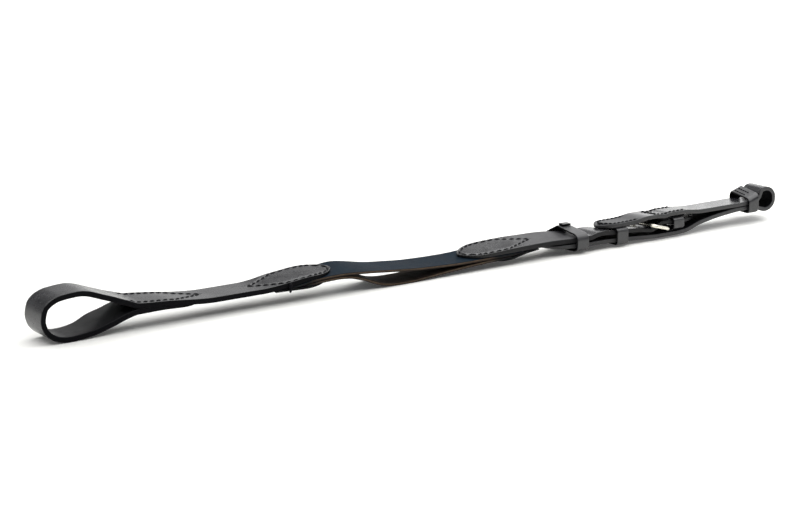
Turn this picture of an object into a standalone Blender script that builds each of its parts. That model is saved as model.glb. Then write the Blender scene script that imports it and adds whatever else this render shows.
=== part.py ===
"""Martingale strap: a sewn end loop, a split two-ply middle and a buckled end loop, in black leather.

Sizes are in millimetres and become metres where the meshes are made. X runs along the strap from the sewn
loop (-X) to the buckled loop (+X), Y runs across it from the near edge (-Y) to the far edge (+Y) and Z is up.
The strap lies on the plane z = 0. A route is a list of (x, z, ply): places along the middle of one thickness
of leather, at the near edge. Beyond the splice the whole strap leans, so that its far edge lies lower.
"""

import math

import bmesh
import bpy
from mathutils import Matrix, Vector

MM = 0.001

# Leather
STRAP_WIDTH = 20.0
LOOP_PLY = 3.2
LEFT_LEAF_PLY = 1.2
RIGHT_LEAF_PLY = 1.6
BAND_PLY = 1.5
COVER_PLY = 1.1
MAIN_PLY = 3.0
BILLET_PLY = 2.4
BUCKLE_STRAP_PLY = 2.6
LINING_PLY = 0.8
CHAPE_PLY = 0.8
KEEPER_PLY = 1.1
SKIVED_EDGE = 0.6
EDGE_ROUND = 0.5
PLY_GAP = 0.25

# Sewn loop and the strap that runs from it
STRAP_START = -254.7
LOOP_LENGTH = 60.9
LOOP_HEIGHT = 28.2
LOOP_MIDDLE_Z = 14.0
LOOP_CREST_FROM_START = 23.5
LOOP_SOLE_FROM_START = 17.3
LOOP_NECK_Z = 12.5
LOOP_FULLNESS = 0.75
RETURN_LENGTH = 41.4
STRAP_RUN = 95.4
STRAP_LIFT = 8.5
LEAF_LENGTH = 16.0
LEAF_SHARPNESS = 0.65
LEFT_LAP = 33.4
LEFT_LAP_RISE = 4.4

# Split middle
SPLIT_LENGTH = 88.1
SAG_FROM_LEAF = 35.0
SAG_LENGTH = 15.0
RIGHT_LAP = 43.5
COVER_BEFORE_LAP_END = 25.0
MAIN_LIFT = 8.1
MAIN_RUN = 61.0

# Splice, billet and buckle strap
SPLICE_LENGTH = 20.0
SPLICE_TIP_LENGTH = 4.8
SPLICE_LEAF_LENGTH = 10.0
SPLICE_TO_HEEL = 41.9
BILLET_BEYOND_HEEL = 25.1
TAIL_LENGTH = 50.0
BUCKLE_STRAP_LOW = 1.45
BUCKLE_STRAP_RISE = 0.3
STRAND_CLEARANCE = 1.0
LINING_BEFORE_HEEL = 5.0
LINING_AFTER_HEEL = 12.5
LEAN_LOW_DEGREES = 3.6
LEAN_HIGH_DEGREES = 6.2
LEAN_HIGH_Z = 16.0
LEAN_BEFORE_SPLICE = 23.0
LEAN_LENGTH = 22.0

# Buckled loop
HEEL_TO_END_LOOP = 75.0
END_LOOP_RISE = 2.3
END_LOOP_RADIUS = 6.5
END_SKEW = 2.6
END_SKEW_BEFORE_LOOP = 32.5
END_SKEW_LENGTH = 18.0

# Buckle
WIRE_RADIUS = 1.1
FRAME_LENGTH = 13.1
FRAME_CORNER = 3.0
FRAME_SIDE_GAP = 1.0
FRAME_TILT_DEGREES = 16.0
FREE_BAR_CLEARANCE = 0.8
PRONG_WIDTH = 2.2
PRONG_PLY = 0.8
PRONG_OVERHANG = 1.6
PRONG_CLEARANCE = 1.4
CHAPE_BEYOND_KEEPER = 0.8
CHAPE_SIDE_INSET = 0.4
PIVOT_GAP = 0.25
HOLE_LENGTH = 7.6
HOLE_WIDTH = 3.6
HOLE_PITCH = 17.0
HOLES_EACH_WAY = 1
HOLE_TO_HEEL = 4.4

# Keepers
KEEPER_SIDE_GAP = 0.9
SLIDING_KEEPER_WIDTH = 8.4
SLIDING_KEEPER_BEFORE_SPLICE = 27.0
SLIDING_KEEPER_SLACK = 0.65
SLIDING_KEEPER_HEADROOM = 1.15
SLIDING_KEEPER_NEAR_GAP = 1.6
SLIDING_KEEPER_SKEW = 6.5
SKEW_DEPTH = 3.0
SLIDING_KEEPER_RISE = 1.5
SLIDING_KEEPER_CORNER = 3.4
SPLICE_KEEPER_WIDTH = 8.2
SPLICE_KEEPER_AFTER_SPLICE = 2.8
BILLET_KEEPER_WIDTH = 8.0
BILLET_KEEPER_AFTER_HEEL = 3.1
LOOP_KEEPER_WIDTH = 7.6
LOOP_KEEPER_SLACK = 1.1
LOOP_KEEPER_HEADROOM = 0.9
LOOP_KEEPER_RISE = 2.4
LOOP_KEEPER_PITCH = 0.34
LOOP_KEEPER_CORNER = 2.8

# Seams
THREAD_RADIUS = 0.4
THREAD_DIP_RADIUS = 0.24
THREAD_GAP = 0.38
STITCH_PITCH = 4.4
SEAM_INSET = 2.4
LEAF_SEAM_INSET = 1.5
LOOP_SEAM_BEFORE_NECK = 5.6
LOOP_SEAM_AFTER_NECK = 43.4
LEFT_SEAM_LENGTH = 54.9
RIGHT_SEAM_LENGTH = 51.1
SEAM_POINT_LENGTH = 20.0
LINING_SEAM_BEFORE_HEEL = 7.5
LINING_SEAM_AFTER_HEEL = 13.5

# Facets
MOST_TURN = math.radians(13.0)
LONGEST_STEP = 9.0
ROUTE_PIECES = 16
WIRE_SIDES = 10
THREAD_SIDES = 5
LINING_STEPS = 9

HALF_WIDTH = STRAP_WIDTH / 2

# Places along the strap, each from the one before it
LOOP_LEFT = STRAP_START + LOOP_PLY / 2
LOOP_TOP_X = STRAP_START + LOOP_CREST_FROM_START
LOOP_BOTTOM_X = STRAP_START + LOOP_SOLE_FROM_START
LOOP_NECK_X = STRAP_START + LOOP_LENGTH
RETURN_TIP_X = LOOP_NECK_X + RETURN_LENGTH
LEFT_LAP_START = LOOP_NECK_X + STRAP_RUN
LEFT_LEAF_TIP = LEFT_LAP_START + LEFT_LAP
SAG_START = LEFT_LEAF_TIP + SAG_FROM_LEAF
SAG_END = SAG_START + SAG_LENGTH
RIGHT_LEAF_TIP = LEFT_LEAF_TIP + SPLIT_LENGTH
RIGHT_LAP_END = RIGHT_LEAF_TIP + RIGHT_LAP
COVER_TIP = RIGHT_LAP_END - COVER_BEFORE_LAP_END
SPLICE_START = RIGHT_LAP_END + MAIN_RUN
SPLICE_TIP = SPLICE_START - SPLICE_TIP_LENGTH
SPLICE_END = SPLICE_START + SPLICE_LENGTH
TAIL_TIP = SPLICE_START - TAIL_LENGTH
HEEL_X = SPLICE_START + SPLICE_TO_HEEL
BILLET_TIP = HEEL_X + BILLET_BEYOND_HEEL
END_LOOP_X = HEEL_X + HEEL_TO_END_LOOP
LEAN_SPAN = (SPLICE_START - LEAN_BEFORE_SPLICE, SPLICE_START - LEAN_BEFORE_SPLICE + LEAN_LENGTH)
END_SKEW_SPAN = (END_LOOP_X - END_SKEW_BEFORE_LOOP, END_LOOP_X - END_SKEW_BEFORE_LOOP + END_SKEW_LENGTH)


def span_from(start, width):
    return start, start + width


SLIDING_KEEPER_SPAN = span_from(SPLICE_START - SLIDING_KEEPER_BEFORE_SPLICE, SLIDING_KEEPER_WIDTH)
SPLICE_KEEPER_SPAN = span_from(SPLICE_START + SPLICE_KEEPER_AFTER_SPLICE, SPLICE_KEEPER_WIDTH)
BILLET_KEEPER_SPAN = span_from(HEEL_X + BILLET_KEEPER_AFTER_HEEL, BILLET_KEEPER_WIDTH)
LOOP_KEEPER_SPAN = span_from(END_LOOP_X - END_LOOP_RADIUS - LOOP_KEEPER_WIDTH, LOOP_KEEPER_WIDTH)
CHAPE_END = BILLET_KEEPER_SPAN[1] + CHAPE_BEYOND_KEEPER


def eased(value, span):
    """How far a value lies along a span, from 0 to 1, with gentle ends."""
    share = min(max((value - span[0]) / (span[1] - span[0]), 0.0), 1.0)
    return share * share * (3.0 - 2.0 * share)


# Smooth curves

def hermite_slopes(values, steps):
    """Slopes that keep a curve through the values from overshooting them."""
    rises = [(b - a) / h for a, b, h in zip(values, values[1:], steps)]
    inner = [2.0 * a * b / (a + b) if a * b > 0.0 else 0.0 for a, b in zip(rises, rises[1:])]
    return [rises[0]] + inner + [rises[-1]]


def hermite(a, b, slope_a, slope_b, step, share):
    rest = 1.0 - share
    ends = a * (1.0 + 2.0 * share) * rest * rest + b * (3.0 - 2.0 * share) * share * share
    return ends + step * share * rest * (slope_a * rest - slope_b * share)


def smooth_route(points):
    """Closely spaced (x, z, ply) places on a smooth curve through the points."""
    steps = [math.hypot(b[0] - a[0], b[1] - a[1]) for a, b in zip(points, points[1:])]
    columns = list(zip(*points))
    slopes = [hermite_slopes(column, steps) for column in columns]
    route = []
    for i, step in enumerate(steps):
        for k in range(ROUTE_PIECES):
            share = k / ROUTE_PIECES
            route.append(tuple(
                hermite(column[i], column[i + 1], slope[i], slope[i + 1], step, share)
                for column, slope in zip(columns, slopes)
            ))
    route.append(tuple(points[-1]))
    return route


def level(points):
    """A height that varies smoothly with x."""
    xs = [p[0] for p in points]
    zs = [p[1] for p in points]
    steps = [b - a for a, b in zip(xs, xs[1:])]
    slopes = hermite_slopes(zs, steps)

    def height(x):
        i = max(k for k in range(len(steps)) if k == 0 or xs[k] <= x)
        share = min(max((x - xs[i]) / steps[i], 0.0), 1.0)
        return hermite(zs[i], zs[i + 1], slopes[i], slopes[i + 1], steps[i], share)

    return height


def powered(value, power):
    return math.copysign(abs(value) ** power, value)


def arc(centre_x, centre_z, radius_x, radius_z, start, end, count, power=1.0):
    """Places on an ellipse, from one angle in degrees to another. A power below 1 makes it fuller."""
    angles = [math.radians(start + (end - start) * k / count) for k in range(count + 1)]
    return [
        (centre_x + radius_x * powered(math.cos(a), power), centre_z + radius_z * powered(math.sin(a), power))
        for a in angles
    ]


# How the strap lies across its width

# Rise of the far edge over the near edge, for each millimetre of width, along the strap
twist = level((
    (LOOP_NECK_X - 14.0, 0.0),
    (LOOP_NECK_X + 3.0, 0.065),
    (LOOP_NECK_X + 12.0, 0.045),
    (LOOP_NECK_X + 32.0, 0.0),
    (LEFT_LAP_START - 24.0, 0.0),
    (LEFT_LAP_START, 0.085),
    (LEFT_LEAF_TIP - 10.0, 0.075),
    (LEFT_LEAF_TIP + 6.0, 0.14),
    (LEFT_LEAF_TIP + 32.0, 0.03),
    (SAG_END, 0.03),
    (RIGHT_LEAF_TIP - 6.0, 0.06),
    (RIGHT_LAP_END - 22.0, 0.11),
    (RIGHT_LAP_END + 8.0, 0.072),
    (SPLICE_START - 39.0, 0.055),
    (SPLICE_START - 26.0, 0.0),
))

# The same for the lower half of the sewn loop, which closes first at its far edge
fold_twist = level((
    (LOOP_NECK_X - 38.0, 0.0),
    (LOOP_NECK_X - 33.0, 0.02),
    (LOOP_NECK_X - 22.6, 0.135),
    (LOOP_NECK_X - 17.0, 0.125),
    (LOOP_NECK_X - 10.0, 0.095),
    (LOOP_NECK_X, 0.0),
))
FOLD_HEIGHTS = (LOOP_NECK_Z + 2.0, LOOP_NECK_Z - 1.0)


def lean_slope(x, z):
    """Fall from the near edge to the far edge, for each millimetre of width: the upper layers fall more."""
    low = math.tan(math.radians(LEAN_LOW_DEGREES))
    high = math.tan(math.radians(LEAN_HIGH_DEGREES))
    share = min(max(z / LEAN_HIGH_Z, 0.0), 1.0)
    fall = (low + (high - low) * share) * eased(x, LEAN_SPAN)
    return fall - twist(x) - fold_twist(x) * eased(z, FOLD_HEIGHTS)


def leaned(x, y, z):
    """The place of a point of the strap, given by its height and x at the near edge."""
    across = y + HALF_WIDTH
    skew = END_SKEW * eased(x, END_SKEW_SPAN) * across / STRAP_WIDTH
    return Vector((x + skew, y, z - across * lean_slope(x, z)))


def settled(x, y, z):
    """The same for the lower band, whose sag lies flat."""
    on_left = eased(x, (SAG_START - 3.0, LEFT_LEAF_TIP + 8.0))
    on_right = eased(x, (SAG_END + 3.0, RIGHT_LEAF_TIP - 2.0))
    place = leaned(x, y, z)
    place.z = z + (place.z - z) * max(on_left, on_right)
    return place


# Meshes

def add_object(name, mesh_tool, material):
    bmesh.ops.recalc_face_normals(mesh_tool, faces=mesh_tool.faces)
    mesh = bpy.data.meshes.new(name)
    mesh_tool.to_mesh(mesh)
    mesh_tool.free()
    mesh.shade_smooth()
    mesh.set_sharp_from_angle(angle=math.radians(40.0))
    mesh.materials.append(material)
    obj = bpy.data.objects.new(name, mesh)
    bpy.context.scene.collection.objects.link(obj)
    return obj


def skin(rings, closed):
    """Faces between rings of places, in metres. Open rows get a flat cap at each end."""
    tool = bmesh.new()
    loops = [[tool.verts.new(place * MM) for place in ring] for ring in rings]
    pairs = list(zip(loops, loops[1:] + loops[:1])) if closed else list(zip(loops, loops[1:]))
    for first, second in pairs:
        for k in range(len(first)):
            after = (k + 1) % len(first)
            tool.faces.new((first[k], first[after], second[after], second[k]))
    if not closed:
        tool.faces.new(loops[0][::-1])
        tool.faces.new(loops[-1])
    return tool


def section(half, ply):
    """A flat strip's cut end with eased corners, as (across, up) pairs."""
    ease = min(EDGE_ROUND, 0.3 * ply, 0.4 * half)
    up = ply / 2
    quarter = [(half, up - ease), (half - ease, up)]
    left = [(-across, height) for across, height in reversed(quarter)]
    top = quarter + left
    return top + [(-across, -height) for across, height in top]


def tip_half_width(full, distance, length):
    """Half the width of a leaf-shaped end at a distance from its tip."""
    if distance >= length:
        return full
    share = max(1.0 - distance / length, 0.0)
    return max(full * (1.0 - share * share) ** LEAF_SHARPNESS, 0.12 * full)


class Route:
    """A smooth route with its length, cut into stations by turn and by step."""

    def __init__(self, points, start_leaf=0.0, end_leaf=0.0):
        self.places = smooth_route(points)
        self.along = [0.0]
        for a, b in zip(self.places, self.places[1:]):
            self.along.append(self.along[-1] + math.hypot(b[0] - a[0], b[1] - a[1]))
        self.length = self.along[-1]
        self.start_leaf = start_leaf
        self.end_leaf = end_leaf

    def direction(self, i):
        a = self.places[max(i - 1, 0)]
        b = self.places[min(i + 1, len(self.places) - 1)]
        return math.atan2(b[1] - a[1], b[0] - a[0])

    def stations(self):
        """Indices of the places that a strip is skinned through."""
        kept = [0]
        for i in range(1, len(self.places) - 1):
            turn = self.direction(i) - self.direction(kept[-1])
            turn = abs(math.remainder(turn, 2.0 * math.pi))
            step = self.along[i] - self.along[kept[-1]]
            on_point = i % ROUTE_PIECES == 0 and (turn > 0.3 * MOST_TURN or step > 0.3 * LONGEST_STEP)
            if on_point or turn > MOST_TURN or step > LONGEST_STEP:
                kept.append(i)
        kept.append(len(self.places) - 1)
        for angle in (16, 34, 52, 70, 90):
            share = 1.0 - math.cos(math.radians(angle))
            kept += [self.nearest(self.start_leaf * share)] if self.start_leaf else []
            kept += [self.nearest(self.length - self.end_leaf * share)] if self.end_leaf else []
        return sorted(set(kept))

    def nearest(self, distance):
        return min(range(len(self.along)), key=lambda i: abs(self.along[i] - distance))

    def half_width(self, i, full):
        from_start = tip_half_width(full, self.along[i], self.start_leaf)
        from_end = tip_half_width(full, self.length - self.along[i], self.end_leaf)
        return min(from_start, from_end)


def strip(name, route, material, half=HALF_WIDTH, place=leaned):
    """A strip of leather or metal along a route."""
    rings = []
    for i in route.stations():
        x, z, ply = route.places[i]
        angle = route.direction(i)
        normal = (-math.sin(angle), math.cos(angle))
        ring = [
            place(x + up * normal[0], across, z + up * normal[1])
            for across, up in section(route.half_width(i, half), ply)
        ]
        rings.append(ring)
    return add_object(name, skin(rings, closed=False), material)


def tube(name, places, radii, material, sides, closed):
    """A round wire or thread through the places, which lie nearly level."""
    rings = []
    last = len(places) - 1
    for i, (place, radius) in enumerate(zip(places, radii)):
        before = places[i - 1] if closed or i > 0 else place
        after = places[(i + 1) % len(places)] if closed or i < last else place
        forward = (after - before).normalized()
        side = forward.cross(Vector((0.0, 0.0, 1.0))).normalized()
        up = side.cross(forward)
        angles = [2.0 * math.pi * k / sides for k in range(sides)]
        rings.append([place + radius * (math.cos(a) * side + math.sin(a) * up) for a in angles])
    return add_object(name, skin(rings, closed), material)


def rounded_box(half_a, low_b, high_b, corner, steps=4):
    """Places round a rectangle with round corners, as (a, b) pairs."""
    corners = (
        (half_a - corner, high_b - corner, 0.0),
        (-half_a + corner, high_b - corner, 90.0),
        (-half_a + corner, low_b + corner, 180.0),
        (half_a - corner, low_b + corner, 270.0),
    )
    places = []
    for centre_a, centre_b, start in corners:
        places += arc(centre_a, centre_b, corner, corner, start, start + 90.0, steps)
    return places


def keeper(
    name, span, low, high, material, near_gap=KEEPER_SIDE_GAP, skew=0.0, rise=0.0, pitch=0.0, corner=2.0,
):
    """A closed leather band round the strap; low and high are its inner faces at the near edge.

    Skew draws the far side back along the strap below its top, rise lifts the far top and pitch slopes
    the top along x.
    """
    middle = (span[0] + span[1]) / 2
    half = (span[1] - span[0]) / 2
    middle_y = (KEEPER_SIDE_GAP - near_gap) / 2
    inner_half = HALF_WIDTH + (KEEPER_SIDE_GAP + near_gap) / 2
    half_ply = KEEPER_PLY / 2
    line = rounded_box(inner_half + half_ply, low - half_ply, high + half_ply, corner)
    rings = []
    for i, (y, z) in enumerate(line):
        before = line[i - 1]
        after = line[(i + 1) % len(line)]
        along = Vector((after[0] - before[0], after[1] - before[1])).normalized()
        outward = (along.y, -along.x)
        far = min(max((y + HALF_WIDTH) / STRAP_WIDTH, 0.0), 1.0)
        is_top = z > (low + high) / 2
        back = skew * far * eased(z, (high, high - SKEW_DEPTH))
        ring = []
        for across, up in section(half, KEEPER_PLY):
            lift = rise * far + pitch * (across + half) if is_top else 0.0
            place = leaned(middle + across, middle_y + y + up * outward[0], z + up * outward[1] + lift)
            ring.append(place - Vector((back, 0.0, 0.0)))
        rings.append(ring)
    origin = leaned(middle, 0.0, (low + high) / 2)
    obj = add_object(name, skin([[p - origin for p in ring] for ring in rings], closed=True), material)
    obj.location = origin * MM
    return obj


def cut(obj, cutter):
    """Takes the cutter's shape out of an object and leaves the cutter as a hidden guide."""
    cutter.hide_render = True
    cutter.display_type = "WIRE"
    difference = obj.modifiers.new(cutter.name, "BOOLEAN")
    difference.operation = "DIFFERENCE"
    difference.solver = "EXACT"
    difference.object = cutter


# Materials

def principled(name, colour, roughness, metallic=0.0):
    material = bpy.data.materials.new(name)
    material.use_nodes = True
    shader = material.node_tree.nodes["Principled BSDF"]
    shader.inputs["Base Color"].default_value = (*colour, 1.0)
    shader.inputs["Roughness"].default_value = roughness
    shader.inputs["Metallic"].default_value = metallic
    return material


# Heights of the stacked layers, each taken from the one that carries it

LAP_TOP = STRAP_LIFT + LEFT_LAP_RISE

LOOP_FALL = LOOP_HEIGHT - LOOP_PLY - LOOP_NECK_Z
LOOP_SHOULDER = (LOOP_NECK_X - 8.0, LOOP_NECK_Z + 0.23 * LOOP_FALL)

loop_strap_under = level((
    LOOP_SHOULDER,
    (LOOP_NECK_X, LOOP_NECK_Z),
    (LOOP_NECK_X + 17.0, STRAP_LIFT + 2.7),
    (LOOP_NECK_X + 40.0, STRAP_LIFT + 0.5),
    (LOOP_NECK_X + 50.0, STRAP_LIFT),
    (LEFT_LAP_START - 16.0, STRAP_LIFT),
    (LEFT_LAP_START, STRAP_LIFT + 0.25 * LEFT_LAP_RISE),
    (LEFT_LEAF_TIP - 12.0, STRAP_LIFT + 0.93 * LEFT_LAP_RISE),
    (LEFT_LEAF_TIP, LAP_TOP),
))

main_strap_under = level((
    (RIGHT_LEAF_TIP, MAIN_LIFT - 0.7),
    (RIGHT_LAP_END - 22.0, MAIN_LIFT - 0.6),
    (RIGHT_LAP_END + 16.0, MAIN_LIFT - 0.3),
    (SPLICE_START - 29.5, MAIN_LIFT - 0.8),
    (SPLICE_START - 15.5, MAIN_LIFT - 0.9),
    (SPLICE_START - 9.5, MAIN_LIFT + 0.3),
    (SPLICE_START - 4.5, MAIN_LIFT + 0.6),
    (SPLICE_KEEPER_SPAN[0] - 1.0, MAIN_LIFT),
    (SPLICE_KEEPER_SPAN[0], MAIN_LIFT),
    (SPLICE_KEEPER_SPAN[1], MAIN_LIFT - 0.35),
))

# The heel bar lies in the fold of the chape, and the billet keeper between the two leaves of the chape
HEEL_Z = BUCKLE_STRAP_LOW + BUCKLE_STRAP_PLY + PLY_GAP + CHAPE_PLY + PIVOT_GAP + WIRE_RADIUS
CHAPE_FOLD_RADIUS = WIRE_RADIUS + PIVOT_GAP + CHAPE_PLY / 2
PRONG_RADIUS = WIRE_RADIUS + PIVOT_GAP + PRONG_PLY / 2
FRAME_TILT = math.radians(FRAME_TILT_DEGREES)
FREE_BAR_X = HEEL_X - FRAME_LENGTH * math.cos(FRAME_TILT)
FREE_BAR_Z = HEEL_Z + FRAME_LENGTH * math.sin(FRAME_TILT)
OVER_HEEL = HEEL_Z + max(CHAPE_FOLD_RADIUS + CHAPE_PLY / 2, PRONG_RADIUS + PRONG_PLY / 2) + 2.5 * PLY_GAP
UNDER_FREE_BAR = FREE_BAR_Z - WIRE_RADIUS - FREE_BAR_CLEARANCE - BILLET_PLY
CHAPE_LOW = BUCKLE_STRAP_LOW + BUCKLE_STRAP_RISE + BUCKLE_STRAP_PLY + PLY_GAP
BILLET_KEEPER_LOW = CHAPE_LOW + CHAPE_PLY + PLY_GAP + KEEPER_PLY
CHAPE_TOP = BILLET_KEEPER_LOW + PLY_GAP + CHAPE_PLY
BILLET_REST = max(CHAPE_TOP + PLY_GAP, OVER_HEEL - 0.7)
BILLET_KEEPER_HIGH = BILLET_REST + BILLET_PLY + PLY_GAP
STRAND_LIFT = BILLET_REST + BILLET_PLY + PLY_GAP + STRAND_CLEARANCE
LOWER_STRAND_LIFT = STRAND_LIFT - PLY_GAP - BUCKLE_STRAP_PLY
END_LOOP_Z = STRAND_LIFT + END_LOOP_RISE

buckle_strap_under = level((
    (TAIL_TIP, MAIN_LIFT - 2.1),
    (TAIL_TIP + 19.0, MAIN_LIFT - 4.0),
    (SLIDING_KEEPER_SPAN[1] + 2.0, MAIN_LIFT - 4.55),
    (SPLICE_START - 5.0, MAIN_LIFT - 4.6),
    (SPLICE_KEEPER_SPAN[1], MAIN_LIFT - 5.25),
    (HEEL_X - 6.0, BUCKLE_STRAP_LOW),
    (HEEL_X + 3.0, BUCKLE_STRAP_LOW),
    (CHAPE_END, BUCKLE_STRAP_LOW + BUCKLE_STRAP_RISE),
    (CHAPE_END + 13.0, LOWER_STRAND_LIFT - 3.85),
    (CHAPE_END + 28.0, LOWER_STRAND_LIFT - 1.35),
    (LOOP_KEEPER_SPAN[0] - 5.0, LOWER_STRAND_LIFT),
    (LOOP_KEEPER_SPAN[1] - 2.0, LOWER_STRAND_LIFT),
))

billet_under = level((
    (SPLICE_KEEPER_SPAN[1], main_strap_under(SPLICE_KEEPER_SPAN[1])),
    (SPLICE_END, MAIN_LIFT - 0.9),
    (FREE_BAR_X - 3.5, UNDER_FREE_BAR + 0.4),
    (FREE_BAR_X + 0.5, UNDER_FREE_BAR),
    (FREE_BAR_X + 4.0, UNDER_FREE_BAR + 0.3 * (OVER_HEEL - UNDER_FREE_BAR)),
    (HEEL_X - 3.0, OVER_HEEL),
    (HEEL_X + 0.5, OVER_HEEL),
    (BILLET_KEEPER_SPAN[0], BILLET_REST),
    (BILLET_TIP, BILLET_REST),
))

SLIDING_KEEPER_LOW = buckle_strap_under(SLIDING_KEEPER_SPAN[1]) - SLIDING_KEEPER_SLACK
SLIDING_KEEPER_HIGH = main_strap_under(SLIDING_KEEPER_SPAN[0]) + MAIN_PLY + SLIDING_KEEPER_HEADROOM
SPLICE_KEEPER_LOW = buckle_strap_under(SPLICE_KEEPER_SPAN[1]) - PLY_GAP
SPLICE_KEEPER_HIGH = main_strap_under(SPLICE_KEEPER_SPAN[0]) + BILLET_PLY + PLY_GAP
LOOP_KEEPER_LOW = LOWER_STRAND_LIFT - LOOP_KEEPER_SLACK
LOOP_KEEPER_HIGH = STRAND_LIFT + BUCKLE_STRAP_PLY + LOOP_KEEPER_HEADROOM
OVER_SPLICE_KEEPER = SPLICE_KEEPER_HIGH + KEEPER_PLY + PLY_GAP
OVER_BILLET_KEEPER = BILLET_KEEPER_HIGH + KEEPER_PLY + PLY_GAP
OVER_BILLET = OVER_HEEL + BILLET_PLY + PLY_GAP
LINING_DEPTH = LINING_PLY + PLY_GAP
OVER_PRONG = FREE_BAR_Z + PRONG_RADIUS + PRONG_PLY / 2 + PRONG_CLEARANCE

upper_strand_under = level((
    (SPLICE_TIP, OVER_SPLICE_KEEPER),
    (SPLICE_KEEPER_SPAN[0], OVER_SPLICE_KEEPER),
    (SPLICE_KEEPER_SPAN[1], OVER_SPLICE_KEEPER),
    (SPLICE_END - 3.0, OVER_SPLICE_KEEPER + 0.2),
    (FREE_BAR_X - 1.0, OVER_PRONG),
    (FREE_BAR_X + 3.5, OVER_PRONG),
    (HEEL_X - 1.5, OVER_BILLET + LINING_DEPTH),
    (BILLET_KEEPER_SPAN[0], OVER_BILLET_KEEPER + LINING_DEPTH),
    (BILLET_KEEPER_SPAN[1], OVER_BILLET_KEEPER + LINING_DEPTH),
    (BILLET_TIP + 2.0, STRAND_LIFT),
    (LOOP_KEEPER_SPAN[1] - 3.0, STRAND_LIFT),
))

# Thickness of the two leather laps
left_lap_ply = level((
    (LEFT_LAP_START, LOOP_PLY),
    (LEFT_LEAF_TIP - LEAF_LENGTH, (LOOP_PLY + LEFT_LEAF_PLY) / 2),
    (LEFT_LEAF_TIP, LEFT_LEAF_PLY),
))
right_lap_ply = level((
    (RIGHT_LEAF_TIP, RIGHT_LEAF_PLY),
    (RIGHT_LAP_END - 22.0, 0.4 * RIGHT_LEAF_PLY + 0.6 * MAIN_PLY),
    (RIGHT_LAP_END, MAIN_PLY),
))

LEFT_LEAF_STEPS = (LEFT_LEAF_TIP - LEAF_LENGTH, LEFT_LEAF_TIP - LEAF_LENGTH / 2, LEFT_LEAF_TIP)


def mid(under, ply):
    """The middle of a layer whose under face follows a level."""
    return lambda x: (x, under(x) + ply / 2, ply)


def hung(under, depth, ply):
    """The middle of a layer that hangs at a depth below the face that a level gives."""
    return lambda x: (x, under(x) - depth - ply / 2, ply)


# Sub-parts

def loop_strap(material):
    """The sewn loop, its skived return under the strap, the strap and its leaf-shaped lap."""
    half_ply = LOOP_PLY / 2
    top_z = LOOP_HEIGHT - half_ply
    returning = hung(loop_strap_under, PLY_GAP, SKIVED_EDGE)(RETURN_TIP_X)
    neck_low = hung(loop_strap_under, PLY_GAP, LOOP_PLY)(LOOP_NECK_X)
    low = arc(LOOP_BOTTOM_X, LOOP_MIDDLE_Z, LOOP_BOTTOM_X - LOOP_LEFT, LOOP_MIDDLE_Z - half_ply, 270, 180, 4)
    reach = (LOOP_TOP_X - LOOP_LEFT, top_z - LOOP_MIDDLE_Z)
    high = arc(LOOP_TOP_X, LOOP_MIDDLE_Z, *reach, 180, 90, 4, LOOP_FULLNESS)
    points = [
        returning,
        hung(loop_strap_under, PLY_GAP, 0.6 * LOOP_PLY)(LOOP_NECK_X + 14.0),
        neck_low,
        (LOOP_NECK_X - 7.0, neck_low[1] - 1.3, LOOP_PLY),
        (LOOP_NECK_X - 17.0, half_ply + 4.5, LOOP_PLY),
        (LOOP_NECK_X - 30.0, half_ply + 1.2, LOOP_PLY),
    ]
    points += [(x, z, LOOP_PLY) for x, z in low + high[1:]]
    points += [
        (LOOP_NECK_X - 20.0, top_z - 0.40 * LOOP_FALL, LOOP_PLY),
        (LOOP_SHOULDER[0], LOOP_SHOULDER[1] + half_ply, LOOP_PLY),
    ]
    run = mid(loop_strap_under, LOOP_PLY)
    flat_start = LOOP_NECK_X + 50.0
    flat_end = LEFT_LAP_START - 16.0
    runs = (LOOP_NECK_X, LOOP_NECK_X + 17.0, flat_start, flat_end, LEFT_LAP_START)
    points += [run(x) for x in runs]
    points += [mid(loop_strap_under, left_lap_ply(x))(x) for x in LEFT_LEAF_STEPS]
    return strip("loop_strap", Route(points, LEAF_LENGTH, LEAF_LENGTH), material)


def band_route(depth, middle, left_start, right_end):
    """A band that lies under both leather laps, with its own route between them."""
    left = hung(loop_strap_under, depth, BAND_PLY)
    right = hung(main_strap_under, depth, BAND_PLY)
    points = [hung(loop_strap_under, depth, SKIVED_EDGE)(left_start)]
    points += [left(x) for x in (left_start + 8.0, *LEFT_LEAF_STEPS)]
    points += [(x, z, BAND_PLY) for x, z in middle]
    points += [right(x) for x in (COVER_TIP - 2.0, right_end - 8.0)]
    points.append(hung(main_strap_under, depth, SKIVED_EDGE)(right_end))
    return Route(points)


def upper_band(material):
    middle = (
        (LEFT_LEAF_TIP + 20.0, LAP_TOP - 2.1),
        (LEFT_LEAF_TIP + 40.0, LAP_TOP - 4.0),
        (RIGHT_LEAF_TIP - 30.0, MAIN_LIFT - 0.7),
        (RIGHT_LEAF_TIP, main_strap_under(RIGHT_LEAF_TIP) - PLY_GAP - BAND_PLY / 2),
    )
    route = band_route(PLY_GAP, middle, LEFT_LAP_START + 3.0, RIGHT_LAP_END - 3.0)
    return strip("upper_band", route, material)


def lower_band(material):
    floor = BAND_PLY / 2
    middle = (
        (LEFT_LEAF_TIP + 7.5, LAP_TOP - 3.3),
        (LEFT_LEAF_TIP + 18.0, LAP_TOP - 6.2),
        (SAG_START - 12.0, floor + 4.2),
        (SAG_START - 5.0, floor + 1.5),
        (SAG_START, floor),
        (SAG_END, floor),
        (SAG_END + 8.0, floor + 0.6),
        (RIGHT_LEAF_TIP - 11.0, floor + 2.3),
        (RIGHT_LEAF_TIP + 9.0, floor + 3.6),
    )
    depth = 2.0 * PLY_GAP + BAND_PLY
    route = band_route(depth, middle, LEFT_LAP_START + 12.0, RIGHT_LAP_END - 12.0)
    return strip("lower_band", route, material, place=settled)


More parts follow.
